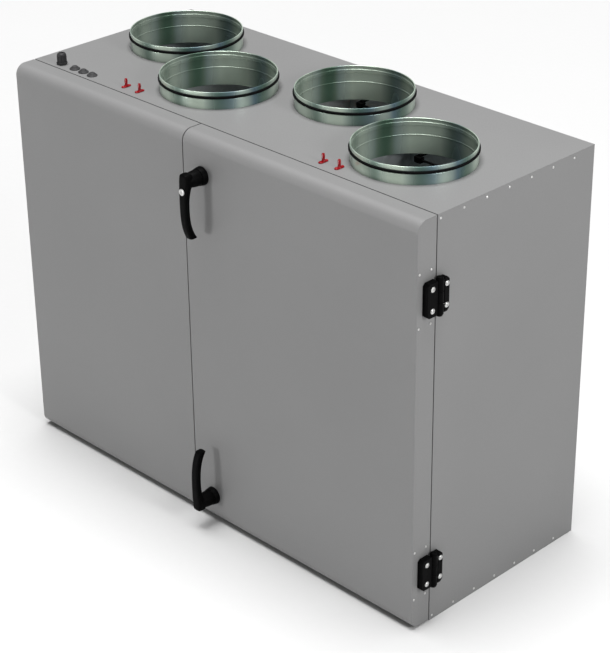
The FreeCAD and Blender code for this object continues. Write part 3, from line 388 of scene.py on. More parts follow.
def lathe(profile, segments, at=NO_TURN):
    """A turned piece about Z from (radius, height) points; a radius of 0 closes it on the axis."""
    def build(bm):
        rings = []
        for radius, height in profile:
            if radius == 0:
                rings.append([bm.verts.new(at @ Vector((0, 0, height)))])
                continue
            ring = []
            for step in range(segments):
                angle = 2 * math.pi * step / segments
                spot = Vector((radius * math.cos(angle), radius * math.sin(angle), height))
                ring.append(bm.verts.new(at @ spot))
            rings.append(ring)
        pairs = list(zip(rings, rings[1:]))
        if len(rings[0]) > 1 and len(rings[-1]) > 1:
            pairs.append((rings[-1], rings[0]))
        for first, second in pairs:
            if len(first) == 1 and len(second) == 1:
                continue
            for step in range(segments):
                after = (step + 1) % segments
                corners = [first[0]] if len(first) == 1 else [first[step], first[after]]
                corners += [second[0]] if len(second) == 1 else [second[after], second[step]]
                bm.faces.new(corners)
    return mesh_from("lathe", build)


def turned(profile, segments, at=NO_TURN):
    """The same from points in millimetres."""
    return lathe([(radius * MM, height * MM) for radius, height in profile], segments, at)


def prism(outline, bottom, top, at=NO_TURN):
    """An (x, y) outline carried along Z from bottom to top."""
    def build(bm):
        floor = [bm.verts.new(at @ Vector((x, y, bottom))) for x, y in outline]
        lid = [bm.verts.new(at @ Vector((x, y, top))) for x, y in outline]
        bm.faces.new(floor)
        bm.faces.new(lid)
        bridge(bm, floor, lid)
    return mesh_from("prism", build)


def upright(outline, back, front):
    """An (x, z) outline carried along Y between two places."""
    return prism(outline, -back, -front, TO_FRONT)


def block(low_corner, high_corner):
    (x0, y0, z0), (x1, y1, z1) = low_corner, high_corner
    return prism([(x0, y0), (x1, y0), (x1, y1), (x0, y1)], z0, z1)


def rod(radius, start, end, segments=48):
    start, end = Vector(start), Vector(end)
    along = (end - start).to_track_quat("Z", "Y").to_matrix().to_4x4()
    length = (end - start).length
    profile = [(0, 0), (radius, 0), (radius, length), (0, length)]
    return lathe(profile, segments, Matrix.Translation(start) @ along)


def loft(rings):
    """A skin through equal rings of points, closed by flat ends."""
    def build(bm):
        rows = [[bm.verts.new(point) for point in ring] for ring in rings]
        for first, second in zip(rows, rows[1:]):
            bridge(bm, first, second)
        bm.faces.new(rows[0])
        bm.faces.new(rows[-1])
    return mesh_from("loft", build)


def softened(mesh, width, segments=3, sharper_than=35):
    """Round every edge sharper than an angle."""
    bm = bmesh.new()
    bm.from_mesh(mesh)
    limit = math.radians(sharper_than)
    edges = [e for e in bm.edges if len(e.link_faces) == 2 and e.calc_face_angle(0) > limit]
    bmesh.ops.bevel(bm, geom=edges, offset=width, segments=segments, profile=0.5,
                    affect="EDGES", clamp_overlap=True)
    bm.to_mesh(mesh)
    bm.free()
    return mesh


def rounded_block(low_corner, high_corner, width, segments=3, at=NO_TURN):
    return placed(softened(block(low_corner, high_corner), width, segments), at)


def hex_head(radius, bottom, top, edge, at=NO_TURN):
    outline = arc(0, 0, radius, 0, 300, 5)
    return placed(softened(prism(outline, bottom, top), edge, 2), at)


def joined(meshes):
    bm = bmesh.new()
    for mesh in meshes:
        bm.from_mesh(mesh)
    result = bpy.data.meshes.new("joined")
    bm.to_mesh(result)
    bm.free()
    return result


def copies(mesh, places):
    return [placed(mesh.copy(), at) for at in places]


def linked(name, data):
    """A new object in the scene."""
    thing = bpy.data.objects.new(name, data)
    bpy.context.scene.collection.objects.link(thing)
    return thing


def baked(mesh, modifiers):
    """A mesh with modifiers applied, each as (kind, settings)."""
    thing = linked("bake", mesh)
    for kind, settings in modifiers:
        modifier = thing.modifiers.new(kind, kind)
        for name, value in settings.items():
            setattr(modifier, name, value)
    bpy.context.view_layer.update()
    shown = thing.evaluated_get(bpy.context.evaluated_depsgraph_get())
    result = bpy.data.meshes.new_from_object(shown)
    bpy.data.objects.remove(thing)
    return result


def carved(mesh, *tools):
    """A mesh with other meshes cut out of it."""
    things = [linked("tool", tool) for tool in tools]
    cut = {"operation": "DIFFERENCE", "solver": "EXACT"}
    result = baked(mesh, [("BOOLEAN", {**cut, "object": thing}) for thing in things])
    for thing in things:
        bpy.data.objects.remove(thing)
    return result


def piece(name, mesh, body, slot, angle=38, look=None):
    """Finish a mesh as a shown piece: shading, material and the body that it rides on."""
    mesh.shade_smooth()
    mesh.set_sharp_from_angle(angle=math.radians(angle))
    mesh = baked(mesh, [("WEIGHTED_NORMAL", {"keep_sharp": True, "weight": 60})])
    mesh.name = name
    mesh.materials.clear()
    mesh.materials.append(MATERIALS[look or slot])
    shown = linked(name, mesh)
    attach(shown, body)
    return shown


def stand_in(name, mesh, node, angle=38, look=None):
    """A finished piece in a CAD node's place, on the node's own body, with its slot's material or the look
    given.
    """
    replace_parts(piece(name, mesh, BODIES[node], SLOTS[node], angle, look), node)


# ---------------------------------------------------------------- cabinet sheets

def sheet(low_corner, high_corner, *holes, edge=0.35 * MM):
    plate = block(low_corner, high_corner)
    if holes:
        plate = carved(plate, *holes)
    return softened(plate, edge, 2)


def folded_sheet(face, bottom, top):
    """A roof or base face with its four folded edges, which reach from bottom to top."""
    inner_x, inner_y = RIGHT - SHEET, BACK - SHEET
    gap, corner = 3 * MM, 50 * MM
    return joined([
        face,
        sheet((-inner_x, FRONT + gap, bottom), (-inner_x + SHEET, BACK - gap, top)),
        sheet((inner_x - SHEET, FRONT + gap, bottom), (inner_x, BACK - gap, top)),
        sheet((LEFT + gap, inner_y - SHEET, bottom), (RIGHT - gap, inner_y, top)),
        sheet((LEFT + corner, FRONT, bottom), (RIGHT - corner, FRONT + SHEET, top)),
    ])


def spigot_places():
    return [(node, middle(node).x, middle(node).y) for node in SPIGOTS]


def cabinet():
    edge = 0.5 * MM
    spigot_hole, foot_hole, drain_hole = 156.8 * MM, 6.5 * MM, 17.5 * MM
    holes = [rod(spigot_hole, (x, y, ROOF - PAST), (x, y, ROOF + PAST), 128) for _, x, y in spigot_places()]
    roof = sheet((LEFT, FRONT, ROOF - SHEET), (RIGHT, BACK, ROOF), *holes, edge=edge)
    stand_in("roof_panel", folded_sheet(roof, ROOF - FOLD, ROOF - SHEET), "roof_skin")

    holes = [rod(foot_hole, (x, y, -PAST), (x, y, PAST)) for x, y in foot_places()]
    base = sheet((LEFT, FRONT, 0), (RIGHT, BACK, SHEET), *holes, edge=edge)
    stand_in("base_panel", folded_sheet(base, SHEET, FOLD), "base_skin")

    lip = RIGHT - 50 * MM
    for side, sign, _ in SIDES:
        outline = [(RIGHT, FRONT), (RIGHT, BACK), (RIGHT - SHEET, BACK), (RIGHT - SHEET, FRONT + SHEET),
                   (lip, FRONT + SHEET), (lip, FRONT)]
        outline = [(x * sign, y) for x, y in outline]
        folded = softened(prism(outline, SHEET, ROOF - SHEET), edge, 2)
        stand_in(side + "_side_panel", folded, side + "_side_skin")

    hole = rod(drain_hole, (DRAIN_X, BACK - PAST, DRAIN_Z), (DRAIN_X, BACK + PAST, DRAIN_Z))
    rear = sheet((SHEET - RIGHT, BACK - SHEET, SHEET), (RIGHT - SHEET, BACK, ROOF - SHEET), hole)
    strip, end = 20 * MM, 20 * MM
    strips = [sheet((x - strip, BACK, end), (x + strip, BACK + SHEET, ROOF - end)) for x in (-0.25, 0.25)]
    stand_in("rear_panel", joined([rear] + strips), "rear_skin")


# ---------------------------------------------------------------- doors

def door_outline(inset):
    """The door's rolled section in (y, z): from its lower back edge round to its upper one."""
    front, bottom, top = DOOR_FRONT + inset, DOOR_LOW + inset, ROOF - inset
    radius = 0.030 - inset
    points = [(DOOR_BACK, bottom)]
    points += arc(front + radius, bottom + radius, radius, 270, 180, 18)
    points += arc(front + radius, top - radius, radius, 180, 90, 18)
    return points + [(DOOR_BACK, top)]


def rolled_door(side):
    """A wrapped front sheet with end caps, each with a fine joint round it, and two folded lips."""
    node = side + "_door_skin"
    low_x, high_x = low(node).x, high(node).x
    wrap = prism(door_outline(0) + door_outline(SHEET)[::-1], low_x, high_x, TO_YZ)
    parts = [softened(wrap, 0.35 * MM, 2)]
    joint = 0.25 * MM
    for start, end in ((low_x + joint, low_x + SHEET), (high_x - SHEET, high_x - joint)):
        parts.append(softened(prism(door_outline(SHEET + 0.2 * MM), start, end, TO_YZ), 0.3 * MM, 2))
    for start, end in ((low_x + 0.002, low_x + 0.016), (high_x - 0.016, high_x - 0.002)):
        parts.append(sheet((start, DOOR_BACK - SHEET, DOOR_LOW + SHEET), (end, DOOR_BACK, ROOF - SHEET)))
    stand_in(side + "_door_shell", joined(parts), node)


def seal_ring(low_corner, high_corner, width, depth):
    """A soft bulb profile led round a rectangle in the (x, z) plane."""
    (x0, y0, z0), (x1, _, z1) = low_corner, high_corner
    section = [(0, 0), (0, 0.55), (0.12, 0.85), (0.32, 1), (0.5, 0.9), (0.68, 1), (0.88, 0.85), (1, 0.55),
               (1, 0)]

    def build(bm):
        loops = []
        for across, out in section:
            inset = across * width
            left, right, bottom, top = x0 + inset, x1 - inset, z0 + inset, z1 - inset
            corners = [(left, bottom), (right, bottom), (right, top), (left, top)]
            loops.append([bm.verts.new((x, y0 + depth * out, z)) for x, z in corners])
        for first, second in zip(loops, loops[1:] + loops[:1]):
            bridge(bm, first, second)
    return mesh_from("seal", build)


def door_inside(side):
    """The liner with a raised field and six rivets, and the bulb seal on it."""
    body = side + "_door"
    lo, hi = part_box(body + "_liner")
    holes, spindle_hole = [], 7 * MM
    if side == "right":
        x = spindle().x
        holes = [rod(spindle_hole, (x, lo.y - PAST, z), (x, hi.y + PAST, z)) for z in lever_heights()]
    margin, field_edge = 0.075, 1.1 * MM
    field_low = Vector((lo.x + margin, hi.y - 0.2 * MM, lo.z + margin))
    field_high = Vector((hi.x - margin, hi.y + 1.2 * MM, hi.z - margin))
    centre = (field_low + field_high) / 2
    parts = [sheet(lo, hi, *holes, edge=0.3 * MM),
             rounded_block(field_low - centre, field_high - centre, field_edge, 3, moved(*centre))]
    margin = 0.04
    for z in levels(lo, hi, margin):
        for x in (lo.x + margin, hi.x - margin):
            parts.append(rivet_head(moved(x, hi.y, z, TO_BACK), 3.2 * MM, 1.3 * MM))
    stand_in(body + "_inner_sheet", joined(parts), body + "_liner")
    lo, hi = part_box(body + "_seal")
    stand_in(body + "_bulb_seal", seal_ring(lo, hi, 0.012, hi.y - lo.y), body + "_seal")


# ---------------------------------------------------------------- roof fittings

def spigot(node, x, y):
    """A tube with a groove for its gasket, a rolled rim and a lock seam."""
    profile = [(155.9, -50), (155.9, -0.4), (156.5, 0), (156.5, 25.6), (155.9, 26.6), (155, 27.2),
               (155, 34.8), (155.9, 35.4), (156.5, 36.4), (156.5, 44.4), (156.3, 45.3), (155.7, 45.9),
               (154.9, 46), (154.1, 45.7), (153.6, 45.1), (153.6, 44.5), (154.1, 44.1), (154.8, 44),
               (155.2, 43.6), (155.3, 42.8), (155.3, 36.6), (154.7, 35.5), (153.8, 35), (153.8, 27),
               (154.7, 26.4), (155.3, 25.2), (155.3, 1.4), (154.6, 0.9), (154.5, 0.2), (154.6, -0.5),
               (155.3, -1), (155.3, -50)]
    at = moved(x, y, ROOF)
    seam = rounded_block((-0.005, 0.1563, 0.001), (0.005, 0.1570, 0.0208), 0.3 * MM, 2, at @ turn(-90, "Z"))
    stand_in(node + "_sleeve", joined([turned(profile, 160, at), seam]), node, angle=50)


def gaskets():
    """Double-lip gaskets in the spigots' grooves."""
    profile = [(154.9, 27.6), (156.2, 27.6), (157.2, 27.9), (159.6, 29.8), (159.8, 30.3), (159.3, 30.6),
               (157.8, 30), (157.3, 30.3), (157.3, 31.4), (158.2, 31.9), (159.8, 33.4), (159.9, 34),
               (159.4, 34.2), (157.6, 33.6), (156.9, 33.8), (156.6, 34.2), (156, 34.4), (154.9, 34.4)]
    rings = [turned(profile, 160, moved(x, y, ROOF)) for _, x, y in spigot_places()]
    stand_in("spigot_lip_gaskets", joined(rings), "spigot_gaskets", angle=60)


def gland():
    """Washer, hexagon collar, thread, ribbed cap nut with its dome, and the seal round the bore."""
    washer = [(0, 0), (13.8, 0), (14.2, 0.6), (13.8, 1.3), (0, 1.3)]
    thread = [(0, 7), (10.8, 7), (10.8, 9.8), (0, 9.8)]
    dome = [(0, 22.5), (12.1, 22.5), (12.7, 24.3), (12.7, 27.2), (12.2, 29), (10.4, 31.2), (8.8, 32.5),
            (7.4, 33), (6.4, 33), (5.8, 32.6), (5.6, 31.2), (5.6, 24.5), (0, 24.5)]
    seal = [(5.5, 25), (5.5, 32.2), (5.2, 32.5), (4.6, 32.1), (4.5, 25)]
    ribs, steps = 10, 6
    outline = []
    for k in range(ribs * steps):
        radius = 11.9 * MM + (1.3 * MM if k % steps in (2, 3, 4) else 0)
        angle = 2 * math.pi * k / (ribs * steps)
        outline.append((radius * math.cos(angle), radius * math.sin(angle)))
    nut = softened(prism(outline, 0.0094, 0.0238), 0.25 * MM, 2, 50)
    collar = hex_head(0.0152, 0.0012, 0.0078, 0.9 * MM)
    parts = [turned(washer, 64), collar, turned(thread, 64), nut, turned(dome, 72), turned(seal, 64)]
    centre = middle("cable_gland")
    whole = placed(joined(parts), moved(centre.x, centre.y, ROOF))
    stand_in("cable_gland_assembly", whole, "cable_gland", angle=45, look="fitting_plastic")


def grommets():
    """Three blind grommets in a row: a flange, a step and a dome."""
    lo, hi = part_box("roof_grommets")
    profile = [(0, 0), (14.2, 0), (14.5, 0.5), (14.4, 1.6), (13.8, 2.4), (12.4, 2.9), (11.6, 3.4),
               (11.3, 4.4), (10.8, 4.9), (9.6, 5), (8.9, 5.3), (8.3, 6.6), (7.4, 8.0), (5.8, 8.9),
               (3.4, 9.4), (0, 9.5)]
    radius, y = 14.5 * MM, (lo.y + hi.y) / 2
    places = [lo.x + radius + (hi.x - lo.x - 2 * radius) * k / 2 for k in range(3)]
    domes = [turned(profile, 72, moved(x, y, ROOF)) for x in places]
    stand_in("roof_grommet_domes", joined(domes), "roof_grommets", angle=50, look="fitting_rubber")


def stadium(width, length, steps=14):
    half = (length - width) / 2
    return arc(0, half, width / 2, 0, 180, steps) + arc(0, -half, width / 2, 180, 360, steps)


def nipples():
    """Pressure nipples on oval feet with two pins; their places are the record's mounts."""
    stem = [(0, 2.5), (5.6, 2.5), (5.4, 3.4), (4.4, 4.4), (3.9, 5.6), (3.9, 11.5), (4.6, 12.2), (3.9, 15.4),
            (4.6, 16.1), (3.8, 20.2), (3.5, 22.2), (3.0, 22.8), (2.3, 23), (1.7, 22.7), (1.6, 12), (0, 12)]
    pin = [(0, 2.8), (2.1, 2.8), (1.9, 3.7), (1.2, 4.2), (0, 4.4)]
    foot = softened(prism(stadium(12 * MM, 30 * MM), 0, 3 * MM), 0.8 * MM, 3)
    pins = [turned(pin, 32, moved(0, spot * MM, 0)) for spot in (-9.5, 9.5)]
    whole = joined([foot, turned(stem, 56)] + pins)
    y = middle("pressure_nipples").y
    places = [mount["pos_m"][0] for mount in frame["record"]["mounts"]
              if mount["name"].startswith("pressure_tap")]
    sockets = copies(whole, [moved(x, y, ROOF) for x in places])
    stand_in("pressure_nipple_set", joined(sockets), "pressure_nipples", angle=50)


# ---------------------------------------------------------------- fasteners

def rivet_head(at, radius=3.4 * MM, height=1.6 * MM):
    """Blind rivet head: a low dome with the broken mandrel in its middle."""
    profile = [(0, 0), (1, 0), (1, 0.18), (0.9, 0.48), (0.7, 0.75), (0.48, 0.92), (0.4, 0.9), (0.36, 0.66),
               (0.24, 0.66), (0.2, 0.8), (0, 0.84)]
    return lathe([(r * radius, h * height) for r, h in profile], 32, at)


def star(radius, lobes=6, steps=48):
    points = []
    for k in range(steps):
        angle = 2 * math.pi * k / steps
        reach = radius * (0.86 + 0.14 * math.cos(lobes * angle))
        points.append((reach * math.cos(angle), reach * math.sin(angle)))
    return points


def screw_head(radius, height, at=NO_TURN):
    """Pan head screw on a thin washer with a six-lobe recess."""
    profile = [(0, 0), (1, 0), (1.02, 0.1), (0.98, 0.2), (0.86, 0.22), (0.85, 0.5), (0.78, 0.8), (0.6, 0.97),
               (0.4, 1), (0, 1)]
    head = lathe([(r * radius, h * height) for r, h in profile], 48)
    return placed(carved(head, prism(star(radius * 0.42), height * 0.45, height * 1.3)), at)


def fasteners():
    """Rivets along the side sheets and the doors' ends, and four screws in each hinge."""
    margin, first, pitch = 0.012, 0.010, 0.081
    screw = screw_head(6.8 * MM, 2.4 * MM)
    sets = {"casing": [], "left_door": [], "right_door": []}
    for side, sign, facing in SIDES:
        door = side + "_door"
        for step in range(7):
            for z in (margin, ROOF - margin):
                at = moved(RIGHT * sign, FRONT + first + pitch * step, z, facing)
                sets["casing"].append(rivet_head(at))
        for height in HINGE_HEIGHTS:
            for end in (-1, 1):
                spin = turn(random.uniform(0, 60), "Z")
                for group, y in (("casing", SEAM + 0.02025), (door, SEAM - 0.029)):
                    at = moved((RIGHT + 0.017) * sign, y, height + 0.028 * end, facing @ spin)
                    sets[group].append(placed(screw.copy(), at))
                for depth in (0.008, 0.049):
                    at = moved(RIGHT * sign, DOOR_FRONT + depth, height + 0.07 * end, facing)
                    sets[door].append(rivet_head(at))
    for body, heads in sets.items():
        stand_in(body + "_rivets_and_screws", joined(heads), body + "_fasteners", angle=50)


# ---------------------------------------------------------------- hinges

def hinge_leaf(sign, toward, far, bands, height):
    """A chamfered block with webs and knuckles round the pin."""
    near, end, cut = 0.0115 * toward, far * toward, 0.007 * toward
    half, shoulder = 0.045, 0.038
    outline = [(near, -half), (end - cut, -half), (end, -shoulder), (end, shoulder), (end - cut, half),
               (near, half)]
    parts = [softened(prism(outline, 0, 0.017, TO_YZ), 1.4 * MM, 3)]
    for bottom, top in bands:
        y0, y1 = sorted((0, near * 1.2))
        parts.append(rounded_block((0.002, y0, bottom + 0.4 * MM), (0.015, y1, top - 0.4 * MM), 0.5 * MM, 2))
        b, t = bottom / MM, top / MM
        knuckle = [(4.1, b + 0.4), (9.2, b), (10, b + 0.8), (10, t - 0.8), (9.2, t), (4.1, t - 0.4)]
        parts.append(turned(knuckle, 48, moved(PIN_OUT, 0, 0)))
    whole = joined(parts)
    if sign < 0:
        whole.transform(Matrix.Scale(-1, 4, (1, 0, 0)))
        whole.flip_normals()
    return placed(whole, moved(RIGHT * sign, SEAM, height))


def hinges():
    """Block hinges: two knuckles and caps on the frame leaf, one between them on the door leaf, a pin."""
    knuckle, end = 0.092 / 6, 0.046
    frame_bands = [(-end, -knuckle), (knuckle, end)]
    door_bands = [(0.3 * MM - knuckle, knuckle - 0.3 * MM)]
    cap = [(0, 0), (8.4, 0), (8.4, 2.6), (7.6, 4), (6, 4.7), (0, 4.9)]
    pin = [(0, -50), (5, -50), (6, -49.2), (6, -48), (4, -47.9), (4, 47.9), (6, 48), (6, 49.2), (5, 50),
           (0, 50)]
    frame_parts, pins = [], []
    for side, sign, _ in SIDES:
        door_parts = []
        for height in HINGE_HEIGHTS:
            at = moved((RIGHT + PIN_OUT) * sign, SEAM, height)
            frame_parts.append(hinge_leaf(sign, 1, 0.029, frame_bands, height))
            for level, flip in ((end + 0.2 * MM, 0), (-end - 0.2 * MM, 180)):
                frame_parts.append(turned(cap, 40, at @ moved(0, 0, level, turn(flip, "X"))))
            door_parts.append(hinge_leaf(sign, -1, 0.0465, door_bands, height))
            pins.append(turned(pin, 40, at))
        stand_in(side + "_hinge_door_leaves", joined(door_parts), side + "_door_hinge_leaves")
    stand_in("hinge_frame_leaf_set", joined(frame_parts), "hinge_frame_leaves")
    stand_in("hinge_pin_set", joined(pins), "hinge_pins")


# ---------------------------------------------------------------- handles

def spindle():
    return middle("lock_cylinder")


def lever_heights():
    return [low("lower_lever").z + 0.022, high("upper_lever").z - 0.022]


def smooth(stations, count):
    """Catmull-Rom through stations, so that a few given sections make a flowing shape."""
    rows = []
    last = len(stations) - 1
    for step in range(count + 1):
        along = last * step / count
        index = min(int(along), last - 1)
        t = along - index
        around = [stations[min(max(index + k, 0), last)] for k in (-1, 0, 1, 2)]
        row = []
        for a, b, c, d in zip(*around):
            row.append(0.5 * (2 * b + (c - a) * t + (2 * a - 5 * b + 4 * c - d) * t * t
                              + (3 * b - a - 3 * c + d) * t ** 3))
        rows.append(row)
    return rows


def lever_arm(up):
    """The bowed lever as a loft of soft rectangles: level, outer reach, inner reach, width (mm)."""
    stations = [(21.5, 60, 48, 12), (20.6, 63.5, 44, 21), (17, 65.8, 41, 28), (8, 66.8, 40, 31),
                (-5, 67.6, 41, 31), (-17, 68.4, 45.6, 29), (-30, 69.2, 49.2, 26.6), (-48, 69.9, 52.2, 25),
                (-70, 70, 52.8, 24.2), (-92, 69.3, 52, 23.8), (-112, 67.4, 49.2, 23.4), (-130, 64, 44.4, 23),
                (-144, 59.6, 38.4, 22.6), (-152, 56, 33.6, 22.6), (-156.6, 53.4, 31, 22.4),
                (-157, 52.6, 31.6, 21.4)]
    count = 40
    rings = []
    for level, outer, inner, width in smooth(stations, 96):
        ring = []
        for k in range(count):
            c, s = math.cos(2 * math.pi * k / count), math.sin(2 * math.pi * k / count)
            x = math.copysign(abs(c) ** 0.5, c) * width / 2
            out = (outer + inner) / 2 + math.copysign(abs(s) ** 0.5, s) * (outer - inner) / 2
            ring.append((x * MM, -out * MM, level * up * MM))
        rings.append(ring)
    return loft(rings)


def handle(name, node, height, up):
    """A lever on its conical neck, with the spindle through the door and, on the upper one, a lock hole."""
    neck = [(0, 16.4), (20.8, 16.4), (21.6, 17.2), (21.6, 25), (21, 32), (19.8, 39), (18, 46), (16, 53),
            (14, 57), (0, 58)]
    inner_end = DOOR_FRONT - high("upper_latch_cam").y
    bar = [(0, inner_end), (0.005, inner_end), (0.005, 0.0165), (0, 0.0165)]
    arm = lever_arm(up)
    if up > 0:
        drop = spindle().z - height
        arm = carved(arm, rod(0.0092, (0, -0.062, drop), (0, -0.08, drop)))
    whole = joined([arm, turned(neck, 72, TO_FRONT), lathe(bar, 32, TO_FRONT)])
    stand_in(name, placed(whole, moved(spindle().x, DOOR_FRONT, height)), node, angle=40)


def handles():
    x = spindle().x
    rose = [(5.2, 0), (24.6, 0), (25, 0.5), (25, 4.6), (24.6, 6.4), (24, 9), (23.5, 12.5), (23.2, 14.6),
            (22.7, 15.7), (21.9, 16), (5.2, 16)]
    roses = [turned(rose, 96, moved(x, DOOR_FRONT, z, TO_FRONT)) for z in lever_heights()]
    stand_in("handle_rose_pair", joined(roses), "handle_roses", angle=45)
    lower, upper = lever_heights()
    handle("upper_lever_handle", "upper_lever", upper, 1)
    handle("lower_lever_handle", "lower_lever", lower, -1)
    barrel = [(0, -12), (8.6, -12), (9, -11.6), (9, -0.8), (8.5, -0.2), (7.2, 0), (6.9, -0.4), (6.4, -0.4),
              (6.1, 0), (0, 0.1)]
    key_slot = block((-0.0009, -0.001, -0.0046), (0.0009, 0.005, 0.0046))
    plug = carved(turned(barrel, 72, TO_FRONT), key_slot)
    stand_in("lock_barrel_plug", placed(plug, moved(x, low("lock_cylinder").y, spindle().z)),
             "lock_cylinder", angle=45)


# ---------------------------------------------------------------- inside the cabinet

def core_frame():
    """The heat exchanger's own square axes, turned onto its corner."""
    centre = middle("exchanger_core")
    return moved(centre.x, 0, centre.z, turn(45, "Y"))


def mullion():
    lo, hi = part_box("centre_mullion")
    wall = 2 * MM
    hollow = block(lo + Vector((wall, wall, -PAST)), hi + Vector((-wall, PAST, PAST)))
    parts = [softened(carved(block(lo, hi), hollow), 0.6 * MM, 2)]
    for z in levels(lo, hi, 0.03):
        parts.append(rivet_head(moved((lo.x + hi.x) / 2, lo.y, z, TO_FRONT), 3.8 * MM, 1.2 * MM))
    stand_in("mullion_channel", joined(parts), "centre_mullion")


def square_ring(outer, inner, y0, y1, edge, segments=2):
    """A flat square frame in the (x, z) plane between two places on Y."""
    plate = block((-outer, y0, -outer), (outer, y1, outer))
    window = block((-inner, y0 - PAST, -inner), (inner, y1 + PAST, inner))
    return softened(carved(plate, window), edge, segments)


def plate_pack():
    """Stacked plates, spacers on two opposite edges of each gap in turn, and embossed end plates."""
    lo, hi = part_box("exchanger_core")
    half, plate, spacer, plates = CORE_HALF, 0.6 * MM, 3.5 * MM, 74
    pitch = (hi.y - lo.y - plate) / plates
    parts = []
    for layer in range(plates + 1):
        y = lo.y + pitch * layer
        parts.append(block((-half, y, -half), (half, y + plate, half)))
        if layer == plates:
            break
        bottom, top = y + 0.4 * MM, y + pitch + 0.2 * MM
        for end in (-1, 1):
            inner, outer = sorted((end * (half - spacer), end * half))
            if layer % 2:
                parts.append(block((inner, bottom, -half), (outer, top, half)))
            else:
                parts.append(block((-half, bottom, inner), (half, top, outer)))
    rib = 12 * MM
    for face, outward in ((lo.y, -1), (hi.y, 1)):
        y0, y1 = sorted((face - 0.3 * MM * outward, face + 1.6 * MM * outward))
        for size in (0.150, 0.105, 0.060):
            parts.append(square_ring(size, size - rib, y0, y1, 0.8 * MM, 3))
    stand_in("exchanger_plate_pack", placed(joined(parts), core_frame()), "exchanger_core")


def end_frames():
    """Angle posts on the exchanger's four edges, and a ring at each end with rivets on the front one."""
    lo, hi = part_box("exchanger_frame")
    reach, inset = CORE_HALF + 3 * MM, 12 * MM
    leg, thick, cheek = 22 * MM, 2.6 * MM, 2.8 * MM
    section = [(0, 0), (leg, 0), (leg, thick), (thick, thick), (thick, leg), (0, leg)]
    parts = []
    for a, b in CORNERS:
        outline = [(a * (reach - x), b * (reach - z)) for x, z in section]
        parts.append(softened(upright(outline, lo.y + inset, hi.y - inset), 0.5 * MM, 2))
    for y0, y1 in ((lo.y, lo.y + cheek), (hi.y - cheek, hi.y)):
        parts.append(square_ring(reach, 0.186, y0, y1, 0.9 * MM))
    line = reach - leg / 2
    for a in (-1, 0, 1):
        for b in (-1, 0, 1):
            if a or b:
                parts.append(rivet_head(moved(a * line, lo.y, b * line, TO_FRONT), 3.6 * MM, 1.4 * MM))
    stand_in("exchanger_end_frames", placed(joined(parts), core_frame()), "exchanger_frame")


def filters():
    """Two card frames on the exchanger's upper faces, each with pull tabs and a pleated pack."""
    lo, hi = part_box("filter_frames")
    core = middle("exchanger_core")
    half, border = 0.160, 0.018
    bottom = CORE_HALF + 26 * MM
    top = bottom + 48 * MM
    pleats = 30
    reach = half - border - 0.4 * MM
    line = []
    for k in range(2 * pleats + 1):
        x = -reach + 2 * reach * k / (2 * pleats)
        line.append((x, top - 4 * MM if k % 2 else bottom + 6 * MM))
    folds = line + [(x, z - 1.8 * MM) for x, z in line[::-1]]
    frames, packs = [], []
    for lean in (-45, 45):
        at = moved(core.x, 0, core.z, turn(lean, "Y"))
        outer = block((-half, lo.y, bottom), (half, hi.y, top))
        opening = block((border - half, lo.y + border, bottom - PAST),
                        (half - border, hi.y - border, top + PAST))
        frames.append(placed(softened(carved(outer, opening), 0.9 * MM, 2), at))
        for end in (lo.y + 0.2 * MM, hi.y - 0.2 * MM):
            frames.append(rounded_block((-0.03, end - 1.2 * MM, top - 0.034),
                                        (0.03, end + 1.2 * MM, top - 0.014), 1 * MM, 2, at))
        inset = border + 0.3 * MM
        packs.append(placed(upright(folds, hi.y - inset, lo.y + inset), at))
    stand_in("filter_card_frames", joined(frames), "filter_frames")
    stand_in("filter_pleat_packs", joined(packs), "filter_media", angle=20)


def fan_axis(side):
    """A fan's own axes: its wall's outer face at z = 0, +z away from the middle of the cabinet."""
    sign = -1 if side == "exhaust" else 1
    lo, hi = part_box(side + "_fan_wheel")
    centre = (lo + hi) / 2
    eye = (hi.x if sign < 0 else lo.x) + 0.010 * sign
    face = eye - WHEEL_OUT * sign
    return sign, face, moved(face, centre.y, centre.z, TO_RIGHT if sign > 0 else TO_LEFT)


def fan_blade():
    """A backward-curved blade: its camber line given by points, each with its thickness (mm)."""
    camber = [(61, 1.2, 1.0), (68, 5.4, 2.6), (79, 15.2, 3.6), (90, 27, 3.9), (101, 40.5, 3.5),
              (110, 54, 2.8), (116, 64.5, 2.0), (119, 72, 1.0)]
    line = smooth(camber, 24)
    left, right = [], []
    for index, (x, y, thick) in enumerate(line):
        before, after = line[max(index - 1, 0)], line[min(index + 1, len(line) - 1)]
        along = Vector((after[0] - before[0], after[1] - before[1])).normalized()
        left.append(((x - along.y * thick / 2) * MM, (y + along.x * thick / 2) * MM))
        right.append(((x + along.y * thick / 2) * MM, (y - along.x * thick / 2) * MM))
    return prism(left + right[::-1], 0.0125, 0.0968)


def fan_wall(side):
    """The sheet that carries a fan, with rivets down both edges."""
    sign, face, _ = fan_axis(side)
    lo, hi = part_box("fan_walls")
    centre = middle(side + "_fan_wheel")
    x0, x1 = sorted((face, face - SHEET * sign))
    opening = 0.112
    hole = rod(opening, (x0 - 2 * PAST, centre.y, centre.z), (x1 + 2 * PAST, centre.y, centre.z), 96)
    wall = softened(carved(block((x0, lo.y, lo.z), (x1, hi.y, hi.z)), hole), 0.3 * MM, 2)
    inner, facing = (x0, TO_LEFT) if sign > 0 else (x1, TO_RIGHT)
    return [wall] + [rivet_head(moved(inner, y, z, facing), 3.4 * MM, 1.2 * MM)
                     for y in (lo.y + 0.02, hi.y - 0.02) for z in levels(lo, hi, 0.03)]


